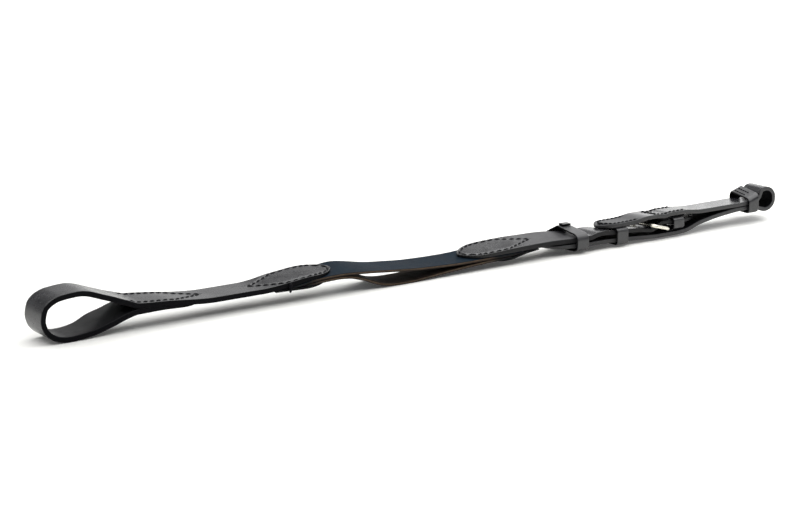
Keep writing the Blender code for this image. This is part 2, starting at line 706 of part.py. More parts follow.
def cover_leaves(material):
    """The short leaves that close the two laps from below and end on the strap itself."""
    depth = 3.0 * PLY_GAP + 2.0 * BAND_PLY
    below_one = 2.0 * PLY_GAP + BAND_PLY
    steps = ((20.0, depth), (12.0, below_one + 1.05), (3.0, 1.25), (-1.0, 0.6), (-8.0, PLY_GAP))
    left_steps = [(LEFT_LAP_START + inward, low) for inward, low in steps[::-1]]
    left_steps += [(LEFT_LEAF_TIP - 3.0, depth)]
    strip("left_cover_leaf", cover_route(loop_strap_under, left_steps, 0.0, LEAF_LENGTH), material)
    right_steps = [(COVER_TIP, depth)]
    right_steps += [(RIGHT_LAP_END - inward, low) for inward, low in steps]
    strip("right_cover_leaf", cover_route(main_strap_under, right_steps, LEAF_LENGTH, 0.0), material)


def cover_route(under, steps, start_leaf, end_leaf):
    """A cover leaf at depths below the strap: its end that lies on the strap is skived."""
    points = []
    for x, low in steps:
        ply = SKIVED_EDGE if low == PLY_GAP else COVER_PLY
        points.append(hung(under, low, ply)(x))
    return Route(points, start_leaf, end_leaf)


def billet_strap(material):
    """The strap beyond the split: leaf-shaped lap, main stretch and pointed billet with its holes."""
    billet = mid(billet_under, BILLET_PLY)
    mains = (RIGHT_LEAF_TIP, RIGHT_LAP_END - 22.0, RIGHT_LAP_END, RIGHT_LAP_END + 16.0)
    mains += (SPLICE_START - 29.5, SPLICE_START - 15.5, SPLICE_START - 9.5, SPLICE_START - 4.5)
    points = [mid(main_strap_under, right_lap_ply(x))(x) for x in mains]
    thinned = mid(main_strap_under, BILLET_PLY)
    points += [thinned(x) for x in (SPLICE_KEEPER_SPAN[0] - 1.0, SPLICE_KEEPER_SPAN[0])]
    billets = (SPLICE_KEEPER_SPAN[1], SPLICE_END, FREE_BAR_X - 3.5, FREE_BAR_X + 0.5, FREE_BAR_X + 4.0)
    ends = (HEEL_X - 3.0, HEEL_X + 0.5, BILLET_KEEPER_SPAN[0], BILLET_KEEPER_SPAN[1], BILLET_TIP)
    points += [billet(x) for x in billets + ends]
    strap = strip("billet_strap", Route(points, LEAF_LENGTH, LEAF_LENGTH), material)
    for k in range(-HOLES_EACH_WAY, HOLES_EACH_WAY + 1):
        x = HEEL_X - HOLE_TO_HEEL - k * HOLE_PITCH
        middle = billet_under(x) + BILLET_PLY / 2
        cut(strap, hole_cutter("billet_hole_%d" % (k + HOLES_EACH_WAY), x, middle, material))
    return strap


def hole_cutter(name, x, z, material):
    """An upright prism with round ends, longer along the strap than across it."""
    reach = 3.0 * MAIN_PLY
    end = HOLE_WIDTH / 2
    outline = rounded_box(HOLE_LENGTH / 2, -end, end, end * 0.98)
    middle = leaned(x, 0.0, z)
    rings = [
        [middle + Vector((a, b, height)) for a, b in outline]
        for height in (-reach / 2, reach / 2)
    ]
    return add_object(name, skin(rings, closed=False), material)


def buckle_strap(material):
    """Spliced upper strand, end loop and lower strand with its tail, in one length."""
    ply = BUCKLE_STRAP_PLY
    upper = mid(upper_strand_under, ply)
    lower = mid(buckle_strap_under, ply)
    points = [mid(upper_strand_under, 0.6 * ply)(SPLICE_TIP)]
    uppers = (SPLICE_KEEPER_SPAN[0], SPLICE_KEEPER_SPAN[1], SPLICE_END - 3.0)
    crest = (FREE_BAR_X - 1.0, FREE_BAR_X + 3.5, HEEL_X - 1.5, BILLET_KEEPER_SPAN[0], BILLET_KEEPER_SPAN[1])
    points += [upper(x) for x in uppers + crest + (BILLET_TIP + 2.0, LOOP_KEEPER_SPAN[1] - 3.0)]
    loop = arc(END_LOOP_X, END_LOOP_Z, END_LOOP_RADIUS, END_LOOP_RADIUS, 115, -115, 9)
    points.append((LOOP_KEEPER_SPAN[1] + 1.4, END_LOOP_Z + 1.4, ply))
    points += [(x, z, ply) for x, z in loop]
    lowers = (LOOP_KEEPER_SPAN[1] - 2.0, LOOP_KEEPER_SPAN[0] - 5.0, CHAPE_END + 28.0, CHAPE_END + 13.0)
    under_buckle = (CHAPE_END, HEEL_X + 3.0, HEEL_X - 6.0, SPLICE_KEEPER_SPAN[1])
    tail = (SPLICE_START - 5.0, SLIDING_KEEPER_SPAN[1] + 2.0, TAIL_TIP + 19.0)
    points += [lower(x) for x in lowers + under_buckle + tail]
    points.append(mid(buckle_strap_under, 0.4 * ply)(TAIL_TIP))
    return strip("buckle_strap", Route(points, SPLICE_LEAF_LENGTH, LEAF_LENGTH), material)


def strand_lining(material):
    """A thin second layer sewn under the upper strand where it passes over the buckle."""
    layer = hung(upper_strand_under, PLY_GAP, LINING_PLY)
    start = HEEL_X - LINING_BEFORE_HEEL
    length = LINING_BEFORE_HEEL + LINING_AFTER_HEEL
    points = [layer(start + length * k / LINING_STEPS) for k in range(LINING_STEPS + 1)]
    return strip("strand_lining", Route(points), material)


def buckle_chape(material):
    """A thin leather fold that holds the heel bar on the buckle strap, slotted for the prong."""
    low = mid(lambda x: buckle_strap_under(x) + BUCKLE_STRAP_PLY + PLY_GAP, CHAPE_PLY)
    high = mid(lambda x: CHAPE_TOP - CHAPE_PLY, CHAPE_PLY)
    xs = (CHAPE_END, (CHAPE_END + HEEL_X + 4.5) / 2, HEEL_X + 4.5)
    fold = arc(HEEL_X, HEEL_Z, CHAPE_FOLD_RADIUS, CHAPE_FOLD_RADIUS, -90, -270, 10)
    points = [low(x) for x in xs]
    points += [(x, z, CHAPE_PLY) for x, z in fold]
    points += [high(x) for x in xs[::-1]]
    half = HALF_WIDTH - CHAPE_SIDE_INSET
    chape = strip("buckle_chape", Route(points), material, half)
    slot_half = PRONG_WIDTH / 2 + 2.0 * PLY_GAP
    reach = CHAPE_FOLD_RADIUS + CHAPE_PLY
    slot = rounded_box(slot_half, HEEL_X - 2.0 * reach, HEEL_X + 1.5 * reach, 0.9 * slot_half)
    heights = (HEEL_Z - 2.0 * reach, HEEL_Z + 2.0 * reach)
    rings = [[leaned(x, y, height) for y, x in slot] for height in heights]
    cut(chape, add_object("chape_slot", skin(rings, closed=False), material))
    return chape


def buckle(metal, prong_metal):
    """The frame, whose heel bar turns in the chape, and the prong that turns on that bar."""
    axis = bpy.data.objects.new("heel_bar_axis", None)
    bpy.context.scene.collection.objects.link(axis)
    lean = math.atan(lean_slope(HEEL_X, HEEL_Z))
    turn = Matrix.Rotation(-lean, 4, "X") @ Matrix.Rotation(FRAME_TILT, 4, "Y")
    axis.matrix_world = Matrix.Translation(leaned(HEEL_X, 0.0, HEEL_Z) * MM) @ turn
    side = HALF_WIDTH + FRAME_SIDE_GAP + WIRE_RADIUS
    outline = rounded_box(side, -FRAME_LENGTH, 0.0, FRAME_CORNER, 5)
    places = [Vector((x, y, 0.0)) for y, x in outline]
    frame = tube("buckle_frame", places, [WIRE_RADIUS] * len(places), metal, WIRE_SIDES, closed=True)
    frame.parent = axis
    prong = buckle_prong(prong_metal)
    prong.parent = axis


def buckle_prong(metal):
    """A flat wire curled round the heel bar, whose shank lies along the frame on the free bar."""
    curl = arc(0.0, 0.0, PRONG_RADIUS, PRONG_RADIUS, -185, 90, 14)
    tip_x = -(FRAME_LENGTH + PRONG_OVERHANG)
    points = [(x, z, PRONG_PLY) for x, z in curl]
    points += [(0.5 * tip_x, PRONG_RADIUS, PRONG_PLY), (tip_x, PRONG_RADIUS, 0.7 * PRONG_PLY)]
    route = Route(points, 0.0, 2.0)
    return strip("buckle_prong", route, metal, PRONG_WIDTH / 2, lambda x, y, z: Vector((x, y, z)))


def keepers(material):
    keeper(
        "sliding_keeper", SLIDING_KEEPER_SPAN, SLIDING_KEEPER_LOW, SLIDING_KEEPER_HIGH, material,
        SLIDING_KEEPER_NEAR_GAP, SLIDING_KEEPER_SKEW, SLIDING_KEEPER_RISE, corner=SLIDING_KEEPER_CORNER,
    )
    keeper("splice_keeper", SPLICE_KEEPER_SPAN, SPLICE_KEEPER_LOW, SPLICE_KEEPER_HIGH, material)
    keeper("billet_keeper", BILLET_KEEPER_SPAN, BILLET_KEEPER_LOW, BILLET_KEEPER_HIGH, material, corner=1.2)
    keeper(
        "loop_keeper", LOOP_KEEPER_SPAN, LOOP_KEEPER_LOW, LOOP_KEEPER_HIGH, material,
        rise=LOOP_KEEPER_RISE, pitch=LOOP_KEEPER_PITCH, corner=LOOP_KEEPER_CORNER,
    )


# Seams

def seam(name, corners, under, ply, material, closed):
    """A thread along straight runs between (x, y) corners, which dips at each stitch hole."""
    ends = corners + corners[:1] if closed else corners
    flat = []
    for a, b in zip(ends, ends[1:]):
        count = max(1, round(math.dist(a, b) / STITCH_PITCH)) * 2
        flat += [(a[0] + (b[0] - a[0]) * k / count, a[1] + (b[1] - a[1]) * k / count) for k in range(count)]
    if not closed:
        flat.append(ends[-1])
    places = []
    radii = []
    for k, (x, y) in enumerate(flat):
        radius = THREAD_RADIUS if k % 2 else THREAD_DIP_RADIUS
        slope = under(x + 0.5) - under(x - 0.5)
        face = under(x) + ply(x) / 2 * (1.0 + math.hypot(1.0, slope))
        places.append(leaned(x, y, face + THREAD_GAP + radius))
        radii.append(radius)
    return tube(name, places, radii, material, THREAD_SIDES, closed)


def leaf_corners(tip_x, length, way):
    """A leaf of stitching: a round end that follows the leaf's tip, and a point back along the strap."""
    point_x = tip_x - way * length
    row = HALF_WIDTH - LEAF_SEAM_INSET
    end = tip_x - way * LEAF_SEAM_INSET
    shoulder = end - way * (LEAF_LENGTH - LEAF_SEAM_INSET)
    near = [(point_x + way * SEAM_POINT_LENGTH, -row), (shoulder, -row)]
    round_end = [
        (
            shoulder + (end - shoulder) * math.sin(math.radians(a)),
            -row * powered(math.cos(math.radians(a)), 2.0 * LEAF_SHARPNESS),
        )
        for a in (28, 56, 90, 124, 152)
    ]
    far = [(x, -y) for x, y in reversed(near)]
    return [(point_x, 0.0)] + near + round_end + far


def seams(material):
    row = HALF_WIDTH - SEAM_INSET
    start = LOOP_NECK_X - LOOP_SEAM_BEFORE_NECK
    point = LOOP_NECK_X + LOOP_SEAM_AFTER_NECK
    shoulder = point - SEAM_POINT_LENGTH
    v_corners = [(start, -row), (shoulder, -row), (point, 0.0), (shoulder, row), (start, row)]
    seam("loop_seam", v_corners, loop_strap_under, lambda x: LOOP_PLY, material, closed=False)
    left = leaf_corners(LEFT_LEAF_TIP, LEFT_SEAM_LENGTH, 1.0)
    seam("left_leaf_seam", left, loop_strap_under, left_lap_ply, material, closed=True)
    right = leaf_corners(RIGHT_LEAF_TIP, RIGHT_SEAM_LENGTH, -1.0)
    seam("right_leaf_seam", right, main_strap_under, right_lap_ply, material, closed=True)
    ply = BUCKLE_STRAP_PLY
    shoulder = SPLICE_TIP + 0.7 * SPLICE_LEAF_LENGTH
    near = [(SPLICE_END, -row), (shoulder, -row)]
    splice = near + [(SPLICE_TIP + SEAM_INSET, 0.0)] + [(x, -y) for x, y in reversed(near)]
    seam("splice_seam", splice, upper_strand_under, lambda x: ply, material, closed=False)
    start = HEEL_X - LINING_SEAM_BEFORE_HEEL
    end = HEEL_X + LINING_SEAM_AFTER_HEEL
    lining = [(end, -row), (start, -row), (start, row), (end, row)]
    seam("lining_seam", lining, upper_strand_under, lambda x: ply, material, closed=False)


def main():
    for old in list(bpy.data.objects):
        bpy.data.objects.remove(old, do_unlink=True)
    strap_leather = principled("strap_leather", (0.018, 0.018, 0.020), 0.42)
    band_leather = principled("band_leather", (0.020, 0.027, 0.034), 0.38)
    keeper_leather = principled("keeper_leather", (0.030, 0.030, 0.033), 0.45)
    plated_steel = principled("plated_steel", (0.82, 0.80, 0.74), 0.22, 1.0)
    prong_steel = principled("prong_steel", (0.74, 0.72, 0.67), 0.28, 1.0)
    thread = principled("waxed_thread", (0.012, 0.012, 0.013), 0.6)
    loop_strap(strap_leather)
    upper_band(band_leather)
    lower_band(band_leather)
    cover_leaves(strap_leather)
    billet_strap(strap_leather)
    buckle_strap(strap_leather)
    strand_lining(strap_leather)
    buckle_chape(strap_leather)
    buckle(plated_steel, prong_steel)
    keepers(keeper_leather)
    seams(thread)


main()
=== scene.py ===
"""Looks of the martingale strap: leather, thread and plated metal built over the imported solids.

The routes repeat those of the solids, in millimetres, and are skinned finely. X runs along the strap from
the sewn loop to the buckled loop, Y across it from the near edge to the far edge, and Z is up. A level is the
height of a layer's under face at the near edge; beyond the splice the whole strap leans, so that its far edge
lies lower.
"""

import bisect
import math

import bmesh
import bpy
from mathutils import Matrix, Vector, noise

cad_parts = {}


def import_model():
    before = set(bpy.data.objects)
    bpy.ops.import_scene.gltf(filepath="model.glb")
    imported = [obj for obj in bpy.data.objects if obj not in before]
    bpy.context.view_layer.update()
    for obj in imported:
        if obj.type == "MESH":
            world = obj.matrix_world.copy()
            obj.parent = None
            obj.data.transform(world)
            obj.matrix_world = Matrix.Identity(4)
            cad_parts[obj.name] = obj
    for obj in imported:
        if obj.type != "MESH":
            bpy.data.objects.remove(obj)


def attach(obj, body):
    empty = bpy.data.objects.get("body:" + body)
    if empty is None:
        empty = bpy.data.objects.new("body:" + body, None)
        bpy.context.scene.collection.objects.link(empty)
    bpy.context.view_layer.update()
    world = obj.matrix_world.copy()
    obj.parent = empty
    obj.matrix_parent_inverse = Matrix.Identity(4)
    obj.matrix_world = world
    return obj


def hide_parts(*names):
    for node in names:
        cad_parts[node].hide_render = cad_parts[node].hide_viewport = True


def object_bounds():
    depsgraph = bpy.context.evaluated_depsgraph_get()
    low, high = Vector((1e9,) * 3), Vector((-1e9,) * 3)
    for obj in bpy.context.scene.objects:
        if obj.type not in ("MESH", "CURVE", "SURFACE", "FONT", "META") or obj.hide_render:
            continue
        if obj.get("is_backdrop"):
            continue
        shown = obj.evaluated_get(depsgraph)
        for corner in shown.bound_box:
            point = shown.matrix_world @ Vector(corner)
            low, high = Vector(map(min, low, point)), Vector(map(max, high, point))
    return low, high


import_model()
cad_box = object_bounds()

MM = 0.001

# Leather
STRAP_WIDTH = 20.0
LOOP_PLY = 3.2
LEFT_LEAF_PLY = 1.2
RIGHT_LEAF_PLY = 1.6
BAND_PLY = 1.5
COVER_PLY = 1.1
MAIN_PLY = 3.0
BILLET_PLY = 2.4
BUCKLE_STRAP_PLY = 2.6
LINING_PLY = 0.8
CHAPE_PLY = 0.8
KEEPER_PLY = 1.1
SKIVED_EDGE = 0.6
EDGE_ROUND = 0.5
PLY_GAP = 0.25

# Sewn loop and the strap that runs from it
STRAP_START = -254.7
LOOP_LENGTH = 60.9
LOOP_HEIGHT = 28.2
LOOP_MIDDLE_Z = 14.0
LOOP_CREST_FROM_START = 23.5
LOOP_SOLE_FROM_START = 17.3
LOOP_NECK_Z = 12.5
LOOP_FULLNESS = 0.75
RETURN_LENGTH = 41.4
STRAP_RUN = 95.4
STRAP_LIFT = 8.5
LEAF_LENGTH = 16.0
LEAF_SHARPNESS = 0.65
LEFT_LAP = 33.4
LEFT_LAP_RISE = 4.4

# Split middle
SPLIT_LENGTH = 88.1
SAG_FROM_LEAF = 35.0
SAG_LENGTH = 15.0
RIGHT_LAP = 43.5
COVER_BEFORE_LAP_END = 25.0
MAIN_LIFT = 8.1
MAIN_RUN = 61.0

# Splice, billet and buckle strap
SPLICE_LENGTH = 20.0
SPLICE_TIP_LENGTH = 4.8
SPLICE_LEAF_LENGTH = 10.0
SPLICE_TO_HEEL = 41.9
BILLET_BEYOND_HEEL = 25.1
TAIL_LENGTH = 50.0
BUCKLE_STRAP_LOW = 1.45
BUCKLE_STRAP_RISE = 0.3
STRAND_CLEARANCE = 1.0
LINING_BEFORE_HEEL = 5.0
LINING_AFTER_HEEL = 12.5
LEAN_LOW_DEGREES = 3.6
LEAN_HIGH_DEGREES = 6.2
LEAN_HIGH_Z = 16.0
LEAN_BEFORE_SPLICE = 23.0
LEAN_LENGTH = 22.0

# Buckled loop
HEEL_TO_END_LOOP = 75.0
END_LOOP_RISE = 2.3
END_LOOP_RADIUS = 6.5
END_SKEW = 2.6
END_SKEW_BEFORE_LOOP = 32.5
END_SKEW_LENGTH = 18.0

# Buckle
WIRE_RADIUS = 1.1
FRAME_LENGTH = 13.1
FRAME_CORNER = 3.0
FRAME_SIDE_GAP = 1.0
FRAME_TILT_DEGREES = 16.0
FREE_BAR_CLEARANCE = 0.8
PRONG_WIDTH = 2.2
PRONG_PLY = 0.8
PRONG_OVERHANG = 1.6
PRONG_CLEARANCE = 1.4
CHAPE_BEYOND_KEEPER = 0.8
CHAPE_SIDE_INSET = 0.4
PIVOT_GAP = 0.25
HOLE_LENGTH = 7.6
HOLE_WIDTH = 3.6
HOLE_PITCH = 17.0
HOLES_EACH_WAY = 1
HOLE_TO_HEEL = 4.4

# Keepers
KEEPER_SIDE_GAP = 0.9
KEEPER_CORNER = 2.0
SLIDING_KEEPER_WIDTH = 8.4
SLIDING_KEEPER_BEFORE_SPLICE = 27.0
SLIDING_KEEPER_SLACK = 0.65
SLIDING_KEEPER_HEADROOM = 1.15
SLIDING_KEEPER_NEAR_GAP = 1.6
SLIDING_KEEPER_SKEW = 6.5
SKEW_DEPTH = 3.0
SLIDING_KEEPER_RISE = 1.5
SLIDING_KEEPER_CORNER = 3.4
SPLICE_KEEPER_WIDTH = 8.2
SPLICE_KEEPER_AFTER_SPLICE = 2.8
BILLET_KEEPER_WIDTH = 8.0
BILLET_KEEPER_AFTER_HEEL = 3.1
BILLET_KEEPER_CORNER = 1.2
LOOP_KEEPER_WIDTH = 7.6
LOOP_KEEPER_SLACK = 1.1
LOOP_KEEPER_HEADROOM = 0.9
LOOP_KEEPER_RISE = 2.4
LOOP_KEEPER_PITCH = 0.34
LOOP_KEEPER_CORNER = 2.8

# Seams
STITCH_PITCH = 4.4
SEAM_INSET = 2.4
LEAF_SEAM_INSET = 1.5
LOOP_SEAM_BEFORE_NECK = 5.6
LOOP_SEAM_AFTER_NECK = 43.4
LEFT_SEAM_LENGTH = 54.9
RIGHT_SEAM_LENGTH = 51.1
SEAM_POINT_LENGTH = 20.0
LINING_SEAM_BEFORE_HEEL = 7.5
LINING_SEAM_AFTER_HEEL = 13.5

HALF_WIDTH = STRAP_WIDTH / 2

# Places along the strap, each from the one before it
LOOP_LEFT = STRAP_START + LOOP_PLY / 2
LOOP_TOP_X = STRAP_START + LOOP_CREST_FROM_START
LOOP_BOTTOM_X = STRAP_START + LOOP_SOLE_FROM_START
LOOP_NECK_X = STRAP_START + LOOP_LENGTH
RETURN_TIP_X = LOOP_NECK_X + RETURN_LENGTH
LEFT_LAP_START = LOOP_NECK_X + STRAP_RUN
LEFT_LEAF_TIP = LEFT_LAP_START + LEFT_LAP
SAG_START = LEFT_LEAF_TIP + SAG_FROM_LEAF
SAG_END = SAG_START + SAG_LENGTH
RIGHT_LEAF_TIP = LEFT_LEAF_TIP + SPLIT_LENGTH
RIGHT_LAP_END = RIGHT_LEAF_TIP + RIGHT_LAP
COVER_TIP = RIGHT_LAP_END - COVER_BEFORE_LAP_END
SPLICE_START = RIGHT_LAP_END + MAIN_RUN
SPLICE_TIP = SPLICE_START - SPLICE_TIP_LENGTH
SPLICE_END = SPLICE_START + SPLICE_LENGTH
TAIL_TIP = SPLICE_START - TAIL_LENGTH
HEEL_X = SPLICE_START + SPLICE_TO_HEEL
BILLET_TIP = HEEL_X + BILLET_BEYOND_HEEL
END_LOOP_X = HEEL_X + HEEL_TO_END_LOOP
LEAN_SPAN = (SPLICE_START - LEAN_BEFORE_SPLICE, SPLICE_START - LEAN_BEFORE_SPLICE + LEAN_LENGTH)
END_SKEW_SPAN = (END_LOOP_X - END_SKEW_BEFORE_LOOP, END_LOOP_X - END_SKEW_BEFORE_LOOP + END_SKEW_LENGTH)


def span_from(start, width):
    return start, start + width


SLIDING_KEEPER_SPAN = span_from(SPLICE_START - SLIDING_KEEPER_BEFORE_SPLICE, SLIDING_KEEPER_WIDTH)
SPLICE_KEEPER_SPAN = span_from(SPLICE_START + SPLICE_KEEPER_AFTER_SPLICE, SPLICE_KEEPER_WIDTH)
BILLET_KEEPER_SPAN = span_from(HEEL_X + BILLET_KEEPER_AFTER_HEEL, BILLET_KEEPER_WIDTH)
LOOP_KEEPER_SPAN = span_from(END_LOOP_X - END_LOOP_RADIUS - LOOP_KEEPER_WIDTH, LOOP_KEEPER_WIDTH)
CHAPE_END = BILLET_KEEPER_SPAN[1] + CHAPE_BEYOND_KEEPER


def eased(value, span):
    """How far a value lies along a span, from 0 to 1, with gentle ends."""
    share = min(max((value - span[0]) / (span[1] - span[0]), 0.0), 1.0)
    return share * share * (3.0 - 2.0 * share)


# Smooth curves

def hermite_slopes(values, steps):
    """Slopes that keep a curve through the values from overshooting them."""
    rises = [(b - a) / h for a, b, h in zip(values, values[1:], steps)]
    inner = [2.0 * a * b / (a + b) if a * b > 0.0 else 0.0 for a, b in zip(rises, rises[1:])]
    return [rises[0]] + inner + [rises[-1]]


def hermite(a, b, slope_a, slope_b, step, share):
    rest = 1.0 - share
    ends = a * (1.0 + 2.0 * share) * rest * rest + b * (3.0 - 2.0 * share) * share * share
    return ends + step * share * rest * (slope_a * rest - slope_b * share)


def smooth_route(points):
    """Closely spaced (x, z, ply) places on a smooth curve through the points."""
    steps = [math.hypot(b[0] - a[0], b[1] - a[1]) for a, b in zip(points, points[1:])]
    columns = list(zip(*points))
    slopes = [hermite_slopes(column, steps) for column in columns]
    route = []
    for i, step in enumerate(steps):
        for k in range(ROUTE_PIECES):
            share = k / ROUTE_PIECES
            route.append(tuple(
                hermite(column[i], column[i + 1], slope[i], slope[i + 1], step, share)
                for column, slope in zip(columns, slopes)
            ))
    route.append(tuple(points[-1]))
    return route


class Level:
    """A height that varies smoothly with x through its (x, z) stops."""

    def __init__(self, *stops):
        self.xs, self.zs = zip(*stops)
        self.steps = [b - a for a, b in zip(self.xs, self.xs[1:])]
        self.slopes = hermite_slopes(self.zs, self.steps)

    def __call__(self, x):
        i = max(k for k in range(len(self.steps)) if k == 0 or self.xs[k] <= x)
        share = min(max((x - self.xs[i]) / self.steps[i], 0.0), 1.0)
        return hermite(*self.zs[i:i + 2], *self.slopes[i:i + 2], self.steps[i], share)


def powered(value, power):
    return math.copysign(abs(value) ** power, value)


def arc(centre_x, centre_z, radius_x, radius_z, start, end, count, power=1.0):
    """Places on an ellipse, from one angle in degrees to another. A power below 1 makes it fuller."""
    angles = [math.radians(start + (end - start) * k / count) for k in range(count + 1)]
    return [
        (centre_x + radius_x * powered(math.cos(a), power), centre_z + radius_z * powered(math.sin(a), power))
        for a in angles
    ]


# How the strap lies across its width

# Rise of the far edge over the near edge, for each millimetre of width, along the strap
twist = Level(
    (LOOP_NECK_X - 14.0, 0.0),
    (LOOP_NECK_X + 3.0, 0.065),
    (LOOP_NECK_X + 12.0, 0.045),
    (LOOP_NECK_X + 32.0, 0.0),
    (LEFT_LAP_START - 24.0, 0.0),
    (LEFT_LAP_START, 0.085),
    (LEFT_LEAF_TIP - 10.0, 0.075),
    (LEFT_LEAF_TIP + 6.0, 0.14),
    (LEFT_LEAF_TIP + 32.0, 0.03),
    (SAG_END, 0.03),
    (RIGHT_LEAF_TIP - 6.0, 0.06),
    (RIGHT_LAP_END - 22.0, 0.11),
    (RIGHT_LAP_END + 8.0, 0.072),
    (SPLICE_START - 39.0, 0.055),
    (SPLICE_START - 26.0, 0.0),
)

# The same for the lower half of the sewn loop, which closes first at its far edge
fold_twist = Level(
    (LOOP_NECK_X - 38.0, 0.0),
    (LOOP_NECK_X - 33.0, 0.02),
    (LOOP_NECK_X - 22.6, 0.135),
    (LOOP_NECK_X - 17.0, 0.125),
    (LOOP_NECK_X - 10.0, 0.095),
    (LOOP_NECK_X, 0.0),
)
FOLD_HEIGHTS = (LOOP_NECK_Z + 2.0, LOOP_NECK_Z - 1.0)


def lean_slope(x, z):
    """Fall from the near edge to the far edge, for each millimetre of width: the upper layers fall more."""
    low = math.tan(math.radians(LEAN_LOW_DEGREES))
    high = math.tan(math.radians(LEAN_HIGH_DEGREES))
    share = min(max(z / LEAN_HIGH_Z, 0.0), 1.0)
    fall = (low + (high - low) * share) * eased(x, LEAN_SPAN)
    return fall - twist(x) - fold_twist(x) * eased(z, FOLD_HEIGHTS)


def leaned(x, y, z):
    """The place of a point of the strap, given by its height and x at the near edge."""
    across = y + HALF_WIDTH
    skew = END_SKEW * eased(x, END_SKEW_SPAN) * across / STRAP_WIDTH
    return Vector((x + skew, y, z - across * lean_slope(x, z)))


def settled(x, y, z):
    """The same for the lower band, whose sag lies flat."""
    on_left = eased(x, (SAG_START - 3.0, LEFT_LEAF_TIP + 8.0))
    on_right = eased(x, (SAG_END + 3.0, RIGHT_LEAF_TIP - 2.0))
    place = leaned(x, y, z)
    place.z = z + (place.z - z) * max(on_left, on_right)
    return place


# Heights of the stacked layers, each taken from the one that carries it

LAP_TOP = STRAP_LIFT + LEFT_LAP_RISE

LOOP_FALL = LOOP_HEIGHT - LOOP_PLY - LOOP_NECK_Z
LOOP_SHOULDER = (LOOP_NECK_X - 8.0, LOOP_NECK_Z + 0.23 * LOOP_FALL)

loop_strap_under = Level(
    LOOP_SHOULDER,
    (LOOP_NECK_X, LOOP_NECK_Z),
    (LOOP_NECK_X + 17.0, STRAP_LIFT + 2.7),
    (LOOP_NECK_X + 40.0, STRAP_LIFT + 0.5),
    (LOOP_NECK_X + 50.0, STRAP_LIFT),
    (LEFT_LAP_START - 16.0, STRAP_LIFT),
    (LEFT_LAP_START, STRAP_LIFT + 0.25 * LEFT_LAP_RISE),
    (LEFT_LEAF_TIP - 12.0, STRAP_LIFT + 0.93 * LEFT_LAP_RISE),
    (LEFT_LEAF_TIP, LAP_TOP),
)

main_strap_under = Level(
    (RIGHT_LEAF_TIP, MAIN_LIFT - 0.7),
    (RIGHT_LAP_END - 22.0, MAIN_LIFT - 0.6),
    (RIGHT_LAP_END + 16.0, MAIN_LIFT - 0.3),
    (SPLICE_START - 29.5, MAIN_LIFT - 0.8),
    (SPLICE_START - 15.5, MAIN_LIFT - 0.9),
    (SPLICE_START - 9.5, MAIN_LIFT + 0.3),
    (SPLICE_START - 4.5, MAIN_LIFT + 0.6),
    (SPLICE_KEEPER_SPAN[0] - 1.0, MAIN_LIFT),
    (SPLICE_KEEPER_SPAN[0], MAIN_LIFT),
    (SPLICE_KEEPER_SPAN[1], MAIN_LIFT - 0.35),
)

# The heel bar lies in the fold of the chape, and the billet keeper between the two leaves of the chape
HEEL_Z = BUCKLE_STRAP_LOW + BUCKLE_STRAP_PLY + PLY_GAP + CHAPE_PLY + PIVOT_GAP + WIRE_RADIUS
CHAPE_FOLD_RADIUS = WIRE_RADIUS + PIVOT_GAP + CHAPE_PLY / 2
PRONG_RADIUS = WIRE_RADIUS + PIVOT_GAP + PRONG_PLY / 2
FRAME_TILT = math.radians(FRAME_TILT_DEGREES)
FREE_BAR_X = HEEL_X - FRAME_LENGTH * math.cos(FRAME_TILT)
FREE_BAR_Z = HEEL_Z + FRAME_LENGTH * math.sin(FRAME_TILT)
OVER_HEEL = HEEL_Z + max(CHAPE_FOLD_RADIUS + CHAPE_PLY / 2, PRONG_RADIUS + PRONG_PLY / 2) + 2.5 * PLY_GAP
UNDER_FREE_BAR = FREE_BAR_Z - WIRE_RADIUS - FREE_BAR_CLEARANCE - BILLET_PLY
CHAPE_LOW = BUCKLE_STRAP_LOW + BUCKLE_STRAP_RISE + BUCKLE_STRAP_PLY + PLY_GAP
BILLET_KEEPER_LOW = CHAPE_LOW + CHAPE_PLY + PLY_GAP + KEEPER_PLY
CHAPE_TOP = BILLET_KEEPER_LOW + PLY_GAP + CHAPE_PLY
BILLET_REST = max(CHAPE_TOP + PLY_GAP, OVER_HEEL - 0.7)
BILLET_KEEPER_HIGH = BILLET_REST + BILLET_PLY + PLY_GAP
STRAND_LIFT = BILLET_REST + BILLET_PLY + PLY_GAP + STRAND_CLEARANCE
LOWER_STRAND_LIFT = STRAND_LIFT - PLY_GAP - BUCKLE_STRAP_PLY
END_LOOP_Z = STRAND_LIFT + END_LOOP_RISE

buckle_strap_under = Level(
    (TAIL_TIP, MAIN_LIFT - 2.1),
    (TAIL_TIP + 19.0, MAIN_LIFT - 4.0),
    (SLIDING_KEEPER_SPAN[1] + 2.0, MAIN_LIFT - 4.55),
    (SPLICE_START - 5.0, MAIN_LIFT - 4.6),
    (SPLICE_KEEPER_SPAN[1], MAIN_LIFT - 5.25),
    (HEEL_X - 6.0, BUCKLE_STRAP_LOW),
    (HEEL_X + 3.0, BUCKLE_STRAP_LOW),
    (CHAPE_END, BUCKLE_STRAP_LOW + BUCKLE_STRAP_RISE),
    (CHAPE_END + 13.0, LOWER_STRAND_LIFT - 3.85),
    (CHAPE_END + 28.0, LOWER_STRAND_LIFT - 1.35),
    (LOOP_KEEPER_SPAN[0] - 5.0, LOWER_STRAND_LIFT),
    (LOOP_KEEPER_SPAN[1] - 2.0, LOWER_STRAND_LIFT),
)

